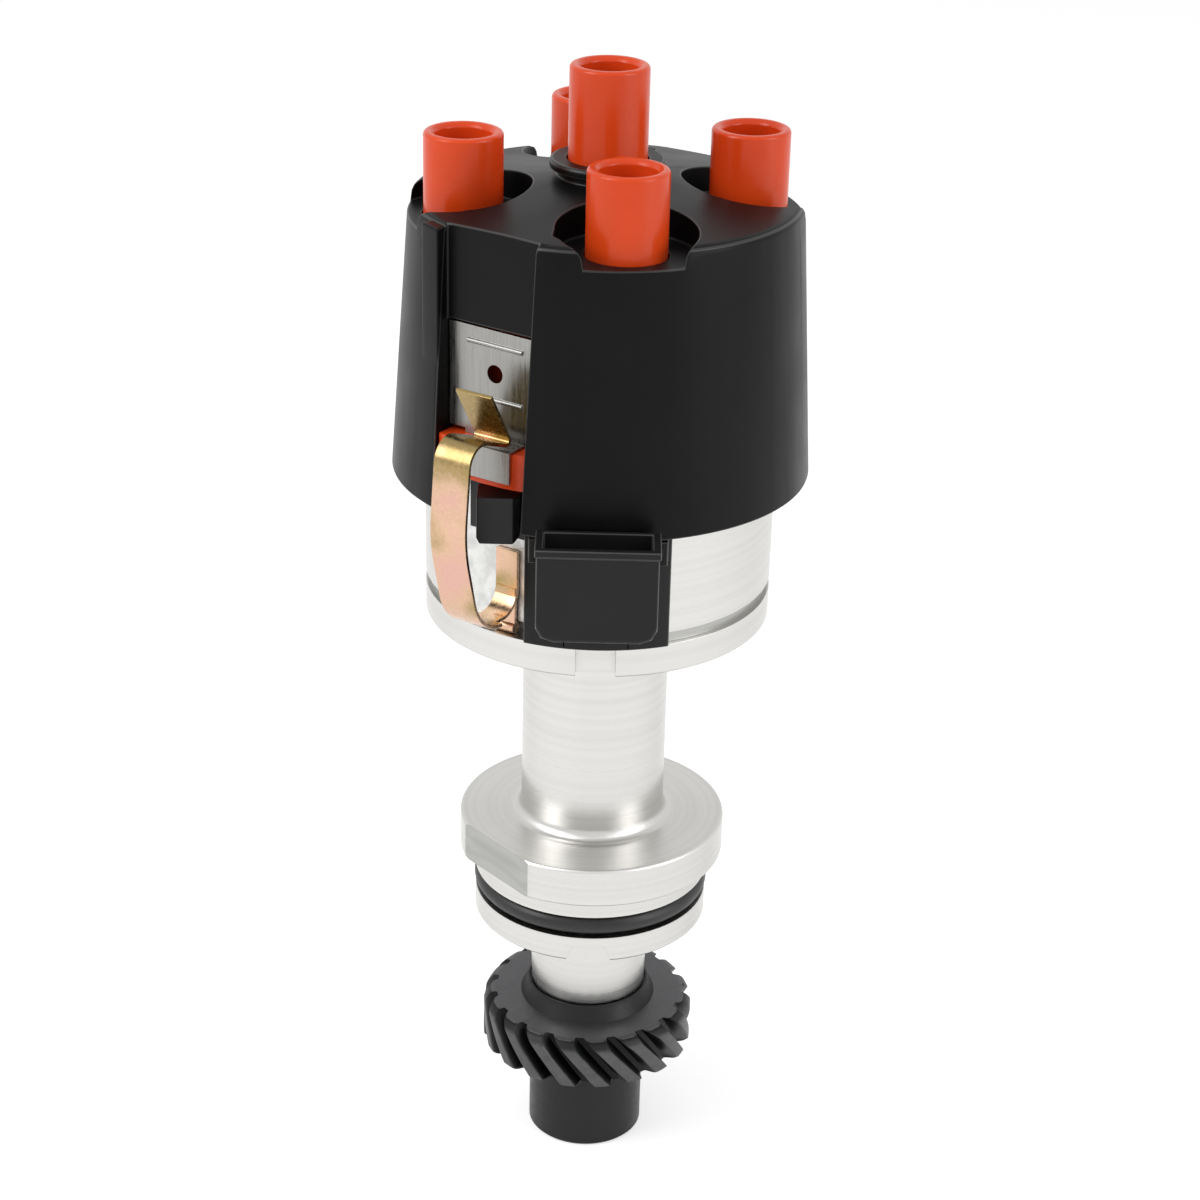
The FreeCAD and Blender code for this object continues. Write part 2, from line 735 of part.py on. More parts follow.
def tooth_ring():
    """One cross-section of the gear: every tooth has a hollow root, two flanks and a chamfered tip."""
    count = int(round(S.gear_teeth.number))
    pitch = 360.0 / count
    root = S.gear_root_radius.number
    tip = S.gear_tip_radius.number
    crown = S.tooth_crown.number
    half_root = S.tooth_root_share.number * pitch / 2
    half_shoulder = S.tooth_shoulder_share.number * pitch / 2
    half_tip = S.tooth_tip_share.number * pitch / 2
    profile = [
        (root + crown, -half_root), (tip - crown, -half_shoulder), (tip, -half_tip),
        (tip, half_tip), (tip - crown, half_shoulder), (root + crown, half_root), (root, pitch / 2),
    ]
    first_gap = QUARTER - S.gear_phase.number
    corners = []
    for tooth in range(count):
        middle = math.radians(first_gap + (tooth + 0.5) * pitch)
        for radius, degrees in profile:
            angle = middle + math.radians(degrees)
            corners.append(FreeCAD.Vector(radius * math.cos(angle), radius * math.sin(angle), 0))
    return Part.makePolygon([*corners, corners[0]])


def make_gear():
    """Helical gear with a conical boss above and a long hub below."""
    ring = tooth_ring()
    wires = []
    for share in (0.0, 0.5, 1.0):
        wire = ring.copy()
        wire.rotate(FreeCAD.Vector(), UP, (1 - share) * S.gear_twist.number)
        wire.translate(UP * (GEAR_BOTTOM.number + share * S.gear_width.number))
        wires.append(wire)
    teeth = doc.addObject("Part::Feature", "helical_teeth")
    teeth.Shape = Part.makeLoft(wires, True, False)
    hub = turned("gear_hub", [
        (0.0, HUB_BOTTOM),
        (S.hub_radius - S.hub_chamfer, HUB_BOTTOM),
        (S.hub_radius, HUB_BOTTOM + S.hub_chamfer),
        (S.hub_radius, GEAR_TOP - OVER / 2),
        (S.boss_radius, GEAR_TOP - OVER / 2),
        (S.boss_radius, GEAR_TOP),
        (S.boss_top_radius, BOSS_TOP),
        (0.0, BOSS_TOP),
    ])
    blank = fuse("gear_blank", [teeth, hub])
    tools = [
        post("gear_bore", S.shaft_radius, (SHAFT_END, FAR)),
        post("hub_bore", S.drive_bore_radius, (HUB_BOTTOM - OVER, SHAFT_END)),
        bar_across("hub_pin_hole", S.gear_pin_radius, (-FAR, FAR), 0.0, GEAR_BOTTOM - S.gear_pin_drop),
        block("drive_slot", (-S.drive_slot_length / 2, S.drive_slot_length / 2),
              (-S.drive_slot_width / 2, S.drive_slot_width / 2),
              (HUB_BOTTOM - OVER, HUB_BOTTOM + S.drive_slot_depth)),
    ]
    node("drive_gear", cut("drive_gear_cut", blank, tools))
    reach = S.hub_radius - S.gear_pin_recess
    node("gear_pin", bar_across("gear_pin", S.gear_pin_radius, (-reach, reach), 0.0,
                                GEAR_BOTTOM - S.gear_pin_drop))


def make_vane():
    """Cup with four windows that passes through the sensor's air gap."""
    inner = S.vane_radius - S.vane_thickness
    low = VANE_TOP - S.vane_height
    disc_low = VANE_TOP - S.vane_thickness
    cup = turned("trigger_vane_cup", [
        (S.shaft_radius, VANE_TOP - S.vane_hub_height),
        (S.vane_hub_radius, VANE_TOP - S.vane_hub_height),
        (S.vane_hub_radius, disc_low), (inner, disc_low), (inner, low), (S.vane_radius, low),
        (S.vane_radius, VANE_TOP), (S.shaft_radius, VANE_TOP),
    ])
    count = int(round(S.vane_windows.number))
    half = S.vane_radius * sine(S.vane_window_angle / 2)
    tools = [block(f"vane_window_{i}", (-half, half), (S.vane_hub_radius + OVER, S.vane_radius + OVER),
                   (low - OVER, low + S.vane_window_height), 360.0 / count * (i + 0.5))
             for i in range(count)]
    node("trigger_vane", cut("trigger_vane_cut", cup, tools))
    bottom = VANE_TOP + S.press_chamfer / 4
    groove = S.shaft_radius - S.circlip_groove
    ring = turned("circlip_ring", [
        (groove, bottom), (S.circlip_radius, bottom),
        (S.circlip_radius, bottom + S.circlip_thickness), (groove, bottom + S.circlip_thickness),
    ])
    mouth = block("circlip_mouth", (-S.circlip_radius / 3, S.circlip_radius / 3), (0.0, FAR),
                  (bottom - OVER, bottom + OVER), OPPOSITE)
    node("circlip", cut("circlip_cut", ring, [mouth]))


def make_sensor():
    """Steel plate on the bowl's ledge, its two screws, and the sensor's fork on it."""
    top = LEDGE + S.plate_thickness
    outside = BOWL_INSIDE - S.plate_gap
    disc = turned("sensor_plate_disc", [
        (S.plate_bore_radius, LEDGE), (outside, LEDGE), (outside, top), (S.plate_bore_radius, top),
    ])
    reach = BOWL_INSIDE - S.ledge_width / 2
    holes = [post(f"plate_hole_{side}", S.screw_radius + S.plate_gap, (LEDGE - OVER, top + OVER),
                  S.screw_azimuth + half_turn, reach=reach) for side, half_turn in SIDES]
    node("sensor_plate", cut("sensor_plate_cut", disc, holes))
    screws = []
    for side, half_turn in SIDES:
        azimuth = S.screw_azimuth + half_turn
        head = post(f"screw_head_{side}", S.screw_head_radius, (top, top + S.screw_head_height),
                    azimuth, reach=reach)
        shank = post(f"screw_shank_{side}", S.screw_radius, (LEDGE - S.screw_length, top), azimuth, reach=reach)
        slot = block(f"screw_slot_{side}", (-S.screw_head_radius, S.screw_head_radius),
                     (reach - S.screw_radius / 4, reach + S.screw_radius / 4),
                     (top + S.screw_head_height / 2, top + S.screw_head_height + OVER), azimuth)
        screws.append(cut(f"screw_{side}", fuse(f"screw_body_{side}", [head, shank]), [slot]))
    node("sensor_screws", group("sensor_screws_group", screws))
    half = S.sensor_width / 2
    outer_low = S.vane_radius + S.sensor_air_gap
    inner_high = S.vane_radius - S.vane_thickness - S.sensor_air_gap
    inner_low = inner_high - S.sensor_leg
    base_top = top + S.sensor_base
    node("hall_sensor", fuse("hall_sensor_fork", [
        block("sensor_foot", (-half, half), (inner_low, SENSOR_FACE), (top, base_top)),
        block("sensor_magnet_leg", (-half, half), (inner_low, inner_high), (top, base_top + S.sensor_leg_height)),
        block("sensor_outer_leg", (-half, half), (outer_low, SENSOR_FACE), (top, base_top + S.sensor_leg_height)),
    ]))


def make_cover():
    rim = BOWL_INSIDE + S.cover_rebate - S.plate_gap
    step = S.cover_thickness * 0.6
    node("dust_cover", turned("dust_cover", [
        (S.cover_bore_radius, COVER_BOTTOM), (rim, COVER_BOTTOM), (rim, BOWL_TOP),
        (rim - OVER, BOWL_TOP), (rim - OVER, COVER_BOTTOM + step),
        (S.cover_bore_radius + OVER, COVER_BOTTOM + step), (S.cover_bore_radius + OVER, BOWL_TOP),
        (S.cover_bore_radius, BOWL_TOP),
    ]))


def make_rotor():
    """Rotor arm on the shaft's seat, with its brass contact strip."""
    arm_low = ROTOR_TOP - S.rotor_arm_height
    half = S.rotor_arm_width / 2
    hub = turned("rotor_hub", [
        (S.shaft_seat_radius, ROTOR_BOTTOM),
        (S.rotor_hub_radius - S.press_chamfer, ROTOR_BOTTOM),
        (S.rotor_hub_radius, ROTOR_BOTTOM + S.press_chamfer),
        (S.rotor_hub_radius, ROTOR_TOP),
        (0.0, ROTOR_TOP),
        (0.0, SHOULDER + S.shaft_seat_length),
        (S.shaft_seat_radius, SHOULDER + S.shaft_seat_length),
    ])
    arm = block("rotor_arm_blade", (-half, half), (0.0, S.rotor_arm_reach), (arm_low, ROTOR_TOP))
    disc = post("rotor_tail_disc", S.rotor_tail_reach, (arm_low, ROTOR_TOP - S.contact_thickness))
    half_plane = block("rotor_tail_half", (-FAR, FAR), (-FAR, 0.0), (arm_low, ROTOR_TOP))
    tail = common("rotor_tail", [disc, half_plane])
    seat = post("rotor_seat", S.shaft_seat_radius, (ROTOR_BOTTOM - OVER, SHOULDER + S.shaft_seat_length))
    node("rotor_arm", cut("rotor_arm_cut", fuse("rotor_arm_body", [hub, arm, tail]), [seat]))
    strip = block("contact_strip", (-S.contact_width / 2, S.contact_width / 2),
                  (-S.contact_width / 2, S.contact_reach), (ROTOR_TOP, CONTACT_TOP))
    tip = block("contact_tip", (-S.contact_width / 2, S.contact_width / 2),
                (S.rotor_arm_reach, S.contact_reach), (CONTACT_TOP - S.contact_drop, CONTACT_TOP))
    node("rotor_contact", fuse("rotor_contact_strip", [strip, tip]))


def make_terminals():
    """Brass inserts of the cap: a cup in each tower, a stem and an electrode beside the rotor."""
    electrode_in = S.contact_reach + S.electrode_gap
    sides = []
    for i, azimuth in enumerate(TOWER_AZIMUTHS):
        cup_low = TOWER_TOP - S.tower_bore_depth - S.terminal_height
        electrode_low = CONTACT_TOP - S.electrode_height
        cup = post(f"side_cup_{i}", S.terminal_radius, (cup_low, cup_low + S.terminal_height),
                   azimuth, reach=S.tower_pitch_radius)
        stem = post(f"side_stem_{i}", S.terminal_stem_radius, (electrode_low, cup_low), azimuth,
                    reach=S.tower_pitch_radius)
        electrode = block(f"electrode_{i}", (-S.electrode_width / 2, S.electrode_width / 2),
                          (electrode_in, S.tower_pitch_radius), (electrode_low, CONTACT_TOP), azimuth)
        bore = post(f"side_cup_bore_{i}", S.terminal_bore_radius,
                    (cup_low + OVER / 2, cup_low + S.terminal_height + OVER), azimuth, reach=S.tower_pitch_radius)
        sides.append(cut(f"side_terminal_{i}", fuse(f"side_terminal_body_{i}", [cup, stem, electrode]), [bore]))
    side_terminals = group("side_terminals_group", sides)
    cup_low = CENTRE_TOWER_TOP - S.centre_bore_depth - S.terminal_height
    centre = turned("centre_terminal_body", [
        (0.0, SPRING_TOP), (S.terminal_stem_radius, SPRING_TOP), (S.terminal_stem_radius, cup_low),
        (S.terminal_radius, cup_low), (S.terminal_radius, cup_low + S.terminal_height),
        (S.terminal_bore_radius, cup_low + S.terminal_height), (S.terminal_bore_radius, cup_low + OVER / 2),
        (0.0, cup_low + OVER / 2),
    ])
    node("side_terminals", side_terminals)
    node("centre_terminal", centre)
    return side_terminals, centre


def make_cap(side_terminals, centre_terminal):
    """The cap's moulding: ring on the bowl, body, towers, brush boss and two clip lugs."""
    ring = S.bowl_radius - S.cap_ring_inset
    inside = S.cap_body_radius - S.cap_wall
    body = turned("cap_body", [
        (BOWL_INSIDE, BOWL_TOP), (ring, BOWL_TOP), (ring, CAP_RING_TOP), (S.cap_body_radius, CAP_RING_TOP),
        (S.cap_body_radius, CROWN - S.cap_wall), (S.cap_body_radius - S.cap_wall / 2, CROWN),
        (0.0, CROWN), (0.0, ROOF_INSIDE - S.brush_boss_drop), (S.brush_boss_radius, ROOF_INSIDE - S.brush_boss_drop),
        (S.brush_boss_radius, ROOF_INSIDE), (inside, ROOF_INSIDE),
        (inside, CAP_RING_TOP), (BOWL_INSIDE, CAP_RING_TOP - OVER),
    ])
    solids = [body]
    for i, azimuth in enumerate(TOWER_AZIMUTHS):
        solids.append(post(f"tower_{i}", S.tower_radius, (CROWN - S.cap_roof, TOWER_TOP), azimuth,
                           reach=S.tower_pitch_radius - S.lug_fit))
    solids.append(post("centre_tower", S.tower_radius, (CROWN - S.cap_roof, CENTRE_TOWER_TOP)))
    for side, half_turn in SIDES:
        azimuth = S.channel_azimuth + half_turn
        half = S.channel_half_width - S.lug_side_gap
        slab = block(f"lug_slab_{side}", (-half, half), (S.cap_body_radius, FAR),
                     (CAP_RING_TOP - S.lug_height, CAP_RING_TOP), azimuth)
        round_off = post(f"lug_round_{side}", LUG_RADIUS, (CAP_RING_TOP - S.lug_height, CAP_RING_TOP))
        solids.append(common(f"lug_{side}", [slab, round_off]))
    tools = [side_terminals, centre_terminal]
    for i, azimuth in enumerate(TOWER_AZIMUTHS):
        tools += tower_bore(f"tower_bore_{i}", TOWER_TOP, S.tower_bore_depth, azimuth, S.tower_pitch_radius)
    tools += tower_bore("centre_bore", CENTRE_TOWER_TOP, S.centre_bore_depth, FRONT, as_size(0.0))
    tools.append(post("brush_bore", S.brush_radius + S.brush_gap,
                      (ROOF_INSIDE - S.brush_boss_drop - OVER, SPRING_TOP)))
    node("distributor_cap", cut("cap_cut", fuse("cap_solids", solids), tools))


def tower_bore(name, top, depth, azimuth, reach):
    """A lead's bore in a tower, with its countersunk lip and the room for the brass cup below it."""
    bore = post(name, S.tower_bore_radius, (top - depth, top + OVER), azimuth, reach=reach)
    cup = post(f"{name}_cup", S.terminal_radius, (top - depth - S.terminal_height, top - depth + OVER), azimuth,
               reach=reach)
    lip = doc.addObject("Part::Cone", f"{name}_lip")
    x, y = polar(azimuth, as_size(0.0), reach)
    bind(lip, Radius1=S.tower_bore_radius, Radius2=S.tower_bore_radius + S.tower_lip, Height=S.tower_lip)
    bind(lip, Placement__Base__x=x, Placement__Base__y=y, Placement__Base__z=top - S.tower_lip)
    return [bore, cup, lip]


def make_brush():
    node("carbon_brush", turned("carbon_brush", [
        (0.0, BRUSH_BOTTOM), (S.brush_radius - S.press_chamfer, BRUSH_BOTTOM),
        (S.brush_radius, BRUSH_BOTTOM + S.press_chamfer), (S.brush_radius, BRUSH_TOP), (0.0, BRUSH_TOP),
    ]))
    coil_radius = S.brush_radius - S.spring_wire
    helix = doc.addObject("Part::Helix", "brush_spring_line")
    helix.LocalCoord = 0
    helix.Style = 1
    bind(helix, Radius=coil_radius, Pitch=S.spring_pitch, Height=S.spring_height - S.spring_wire * 1.2)
    bind(helix, Placement__Base__z=BRUSH_TOP + S.spring_wire * 0.6)
    wire = doc.addObject("Part::RegularPolygon", "brush_spring_section")
    wire.Polygon = 6
    wire.Placement = FreeCAD.Placement(FreeCAD.Vector(), FreeCAD.Rotation(FreeCAD.Vector(1, 0, 0), 90))
    bind(wire, Circumradius=S.spring_wire / 2, Placement__Base__x=coil_radius)
    bind(wire, Placement__Base__z=BRUSH_TOP + S.spring_wire * 0.6)
    doc.recompute()
    coil = doc.addObject("Part::Sweep", "brush_spring_coil")
    coil.Sections = [wire]
    coil.Spine = (helix, [f"Edge{i}" for i in range(1, len(helix.Shape.Edges) + 1)])
    coil.Solid = True
    coil.Frenet = True
    node("brush_spring", coil)


def shield_blank(name, inset, bottom):
    """The shield's outer form, or the same form moved inwards by its wall."""
    lean = (SHIELD_RADIUS - SHIELD_TOP_RADIUS) / (SHIELD_SHOULDER - SHIELD_BOTTOM)
    low = SHIELD_RADIUS + lean * (SHIELD_BOTTOM - bottom) - inset
    shoulder = SHIELD_SHOULDER - inset
    edge = S.shield_edge
    slope = (SHIELD_CENTRE - SHIELD_SHOULDER - edge) / SHIELD_TOP_RADIUS
    return turned(name, [
        (0.0, bottom), (low, bottom), (SHIELD_TOP_RADIUS - inset, shoulder),
        (SHIELD_TOP_RADIUS - inset - edge * 0.3, shoulder + edge * 0.7),
        (SHIELD_TOP_RADIUS - inset - edge, shoulder + edge + slope * edge),
        (0.0, SHIELD_CENTRE - inset),
    ])


def make_shield():
    """The black shell: wells round the towers, a ring at the centre, two clip channels."""
    bottom = SHIELD_BOTTOM
    outer = shield_blank("shield_outer", as_size(0.0), bottom)
    inner = shield_blank("shield_inner", S.shield_wall, bottom - OVER)
    shell = cut("shield_shell", outer, [inner])
    limit = shield_blank("shield_limit", as_size(0.0), bottom)
    cup_radius = S.well_radius + S.shield_wall
    cups = [post(f"well_cup_{i}", cup_radius, (CROWN, SHIELD_CENTRE + OVER), azimuth,
                 reach=S.tower_pitch_radius) for i, azimuth in enumerate(TOWER_AZIMUTHS)]
    channels = []
    for side, half_turn in SIDES:
        azimuth = S.channel_azimuth + half_turn
        wide = S.channel_half_width + S.channel_cheek
        channels.append(block(f"channel_walls_{side}", (-wide, wide), (CHANNEL_BACK - S.shield_wall, FAR),
                              (CHEEK_BOTTOM, SHIELD_CENTRE), azimuth))
    inside = common("shield_inside_walls", [fuse("shield_wall_blocks", cups + channels), limit])
    neck = turned("shield_neck", [
        (0.0, CROWN), (S.shield_neck_radius, CROWN), (S.shield_neck_radius, SHIELD_RING_BOTTOM),
        (S.shield_ring_radius, SHIELD_RING_BOTTOM),
        (S.shield_ring_radius, SHIELD_RING_BOTTOM + S.shield_ring_height - S.press_chamfer),
        (S.shield_ring_radius - S.press_chamfer, SHIELD_RING_BOTTOM + S.shield_ring_height),
        (0.0, SHIELD_RING_BOTTOM + S.shield_ring_height),
    ])
    hole = S.tower_radius + S.tower_hole_gap
    ring = S.bowl_radius - S.cap_ring_inset + S.tower_hole_gap
    tools = [post("centre_hole", hole, (CROWN - OVER, CENTRE_TOWER_TOP)),
             post("cap_ring_space", ring, (bottom - OVER, CAP_RING_TOP + S.tower_hole_gap))]
    for i, azimuth in enumerate(TOWER_AZIMUTHS):
        tools.append(post(f"well_{i}", S.well_radius, (WELL_FLOOR, CENTRE_TOWER_TOP), azimuth,
                          reach=S.tower_pitch_radius))
        tools.append(post(f"well_hole_{i}", hole, (CROWN - OVER, CENTRE_TOWER_TOP), azimuth,
                          reach=S.tower_pitch_radius))
    for side, half_turn in SIDES:
        azimuth = S.channel_azimuth + half_turn
        tools.append(block(f"channel_{side}", (-S.channel_half_width, S.channel_half_width),
                           (CHANNEL_BACK, FAR), (bottom - OVER, CENTRE_TOWER_TOP), azimuth))
        tools.append(block(f"channel_window_{side}", (-S.channel_half_width, S.channel_half_width),
                           (CHANNEL_BACK - S.shield_wall - OVER, FAR), (bottom - OVER, CHANNEL_ROOF), azimuth))
    node("suppression_shield", cut("shield_cut", fuse("shield_solids", [shell, inside, neck]), tools))


def make_screens():
    """Steel sheets in the channels, each with a tongue over the cap's lug."""
    for side, half_turn in SIDES:
        azimuth = SCREEN_AZIMUTH + half_turn
        clip = CLIP_AZIMUTH + half_turn
        half = SCREEN_HALF_WIDTH
        back = SCREEN_FACE - S.screen_thickness
        rib = S.screen_rib_half_length
        seat = CAP_RING_TOP
        tongue_front = LUG_RADIUS + S.lug_fit
        solids = [
            block(f"screen_back_{side}", (-half, half), (back, SCREEN_FACE), (seat, SCREEN_TOP), azimuth),
            bar_across(f"screen_rib_high_{side}", S.screen_rib_radius, (-rib, rib), SCREEN_FACE,
                       SCREEN_TOP - S.screen_rib_drop, azimuth),
            bar_across(f"screen_rib_low_{side}", S.screen_rib_radius, (-rib, rib), SCREEN_FACE,
                       SCREEN_BOTTOM + S.screen_rib_rise, azimuth),
        ]
        plate = fuse(f"screen_sheet_{side}", solids)
        trim = block(f"screen_skirt_trim_{side}", (-FAR, -S.tongue_half_width - OVER), (0.0, FAR),
                     (seat - OVER, SCREEN_BOTTOM), azimuth)
        trim_right = block(f"screen_skirt_trim_right_{side}", (S.tongue_half_width + OVER, FAR), (0.0, FAR),
                           (seat - OVER, SCREEN_BOTTOM), azimuth)
        hole = bar_outward(f"screen_hole_{side}", S.screen_hole_radius, (0.0, FAR),
                           SCREEN_TOP - S.screen_hole_drop, azimuth)
        rib_trim = block(f"screen_rib_trim_{side}", (-FAR, FAR), (0.0, back), (seat - OVER, SCREEN_TOP), azimuth)
        plate = cut(f"screen_cut_{side}", plate, [trim, trim_right, hole, rib_trim])
        tongue = S.tongue_half_width
        top_sheet = block(f"tongue_top_{side}", (-tongue, tongue), (back, tongue_front + S.screen_thickness),
                          (seat, seat + S.screen_thickness), clip)
        front_sheet = block(f"tongue_front_{side}", (-tongue, tongue),
                            (tongue_front, tongue_front + S.screen_thickness),
                            (CAP_RING_TOP - S.tongue_drop, seat + S.screen_thickness), clip)
        node(f"screen_plate_{side}", fuse(f"screen_plate_{side}", [plate, top_sheet, front_sheet]))


def rounded_path(corners, azimuth):
    """Straight runs joined by tangent arcs, in the upright plane at an azimuth."""
    x, y = polar(azimuth, as_size(0.0), as_size(1.0))
    outward = FreeCAD.Vector(x.number, y.number, 0)
    places = [outward * reach.number + UP * height.number for reach, height, bend in corners]
    bends = [bend.number for reach, height, bend in corners]
    edges = []
    start = places[0]
    for i in range(1, len(places) - 1):
        back = (places[i - 1] - places[i]).normalize()
        ahead = (places[i + 1] - places[i]).normalize()
        half = back.getAngle(ahead) / 2
        run = bends[i] / math.tan(half)
        inner = (back + ahead).normalize()
        centre = places[i] + inner * (bends[i] / math.sin(half))
        enter = places[i] + back * run
        leave = places[i] + ahead * run
        edges.append(Part.LineSegment(start, enter).toShape())
        edges.append(Part.Arc(enter, centre - inner * bends[i], leave).toShape())
        start = leave
    edges.append(Part.LineSegment(start, places[-1]).toShape())
    return Part.Wire(edges)


def strip_shape(corners, half_width, thickness, azimuth):
    """A flat strip of spring steel bent along a rounded path."""
    path = rounded_path(corners, azimuth)
    across_x, across_y = polar(azimuth, as_size(1.0), as_size(0.0))
    across = FreeCAD.Vector(across_x.number, across_y.number, 0)
    start = path.Vertexes[0].Point
    along = path.Edges[0].tangentAt(path.Edges[0].FirstParameter)
    normal = along.cross(across)
    corner = [(-1, -1), (1, -1), (1, 1), (-1, 1), (-1, -1)]
    section = Part.makePolygon([
        start + across * (a * half_width.number) + normal * (b * thickness.number / 2) for a, b in corner])
    sweep = Part.BRepOffsetAPI.MakePipeShell(path)
    sweep.setBiNormalMode(across)
    sweep.add(section, False, False)
    sweep.build()
    sweep.makeSolid()
    return sweep.shape()


def make_clips():
    """Spring clips: foot in the bowl, leg, bow, hook over the lug and thumb tab."""
    for side, half_turn in SIDES:
        azimuth = CLIP_AZIMUTH + half_turn
        corners = [
            (CLIP_LEG, CLIP_LEG_TOP, as_size(0.0)),
            (CLIP_LEG, CLIP_BOTTOM, S.clip_leg_bend),
            (CLIP_FLAT + S.bow_foot_reach, CLIP_BOTTOM, S.clip_foot_bend),
            (CLIP_FLAT + S.bow_belly_reach, BOWL_TOP - S.bow_belly_drop, S.clip_belly_bend),
            (CLIP_FLAT + S.bow_shoulder_reach, HOOK_HEIGHT + S.bow_shoulder_rise, S.clip_shoulder_bend),
            (HOOK, HOOK_HEIGHT, S.clip_hook_bend),
            (HOOK + S.clip_tab_reach, HOOK_HEIGHT + S.clip_tab_rise, as_size(0.0)),
        ]
        strip = doc.addObject("Part::Feature", f"clip_strip_{side}")
        strip.Shape = strip_shape(corners, S.clip_half_width, S.clip_thickness, azimuth)
        leg_end = CLIP_LEG + S.clip_leg_bend * 1.6
        trims = []
        for hand, (near, far) in (("left", (-S.clip_half_width - OVER, -S.clip_leg_half_width)),
                                  ("right", (S.clip_leg_half_width, S.clip_half_width + OVER))):
            trims.append(block(f"clip_trim_{hand}_{side}", (near, far), (0.0, leg_end),
                               (CLIP_BOTTOM - OVER, CLIP_LEG_TOP + OVER), azimuth))
        strip_cut = cut(f"clip_strip_cut_{side}", strip, trims)
        foot_height = RIM_TOP + S.band_height / 2
        foot = bar_across(f"clip_foot_{side}", S.foot_radius, (-S.foot_half_width, S.foot_half_width),
                          FOOT_REACH, foot_height, azimuth)
        web = block(f"clip_foot_web_{side}", (-S.foot_half_width, S.foot_half_width),
                    (FOOT_REACH - S.clip_thickness / 2, FOOT_REACH + S.clip_thickness / 2),
                    (foot_height, CLIP_BOTTOM + S.clip_leg_bend), azimuth)
        node(f"clip_{side}", fuse(f"clip_{side}_solid", [strip_cut, foot, web]))


def make_guides():
    """Black moulded guides on the bowl, one inside each clip's bow."""
    for side, half_turn in SIDES:
        azimuth = CLIP_AZIMUTH + half_turn
        base = block(f"guide_base_{side}", (-S.guide_base_left, S.guide_base_right),
                     (CLIP_FLAT, CLIP_FLAT + S.guide_base_thickness), (GUIDE_BASE_BOTTOM, BOWL_TOP), azimuth)
        chamfer = S.guide_chamfer
        outline = profiled(f"guide_block_{side}", "XZ_Plane", [
            (-S.guide_left, GUIDE_BOTTOM + chamfer), (-S.guide_left, BOWL_TOP),
            (-S.guide_right, BOWL_TOP), (-S.guide_right, GUIDE_BOTTOM + chamfer),
            (-S.guide_right - chamfer, GUIDE_BOTTOM), (-S.guide_left + chamfer / 2, GUIDE_BOTTOM),
        ], FAR * 2)
        keep = profiled(f"guide_keep_{side}", "XY_Plane", [
            (-S.guide_left, -GUIDE_BACK), (-S.guide_left, -S.bowl_radius),
            (-S.guide_right - chamfer, -S.bowl_radius), (-S.guide_right, -S.bowl_radius + chamfer),
            (-S.guide_right, -GUIDE_BACK),
        ], FAR * 4)
        lump = common(f"guide_lump_{side}", [outline, keep])
        turn_about_z(lump, as_size(half_turn))
        solid = fuse(f"guide_solid_{side}", [base, lump])
        behind = block(f"guide_behind_{side}", (-FAR, FAR), (0.0, CLIP_FLAT),
                       (GUIDE_BASE_BOTTOM - OVER, BOWL_TOP + OVER), azimuth)
        node(f"clip_guide_{side}", cut(f"clip_guide_{side}_solid", solid, [behind]))


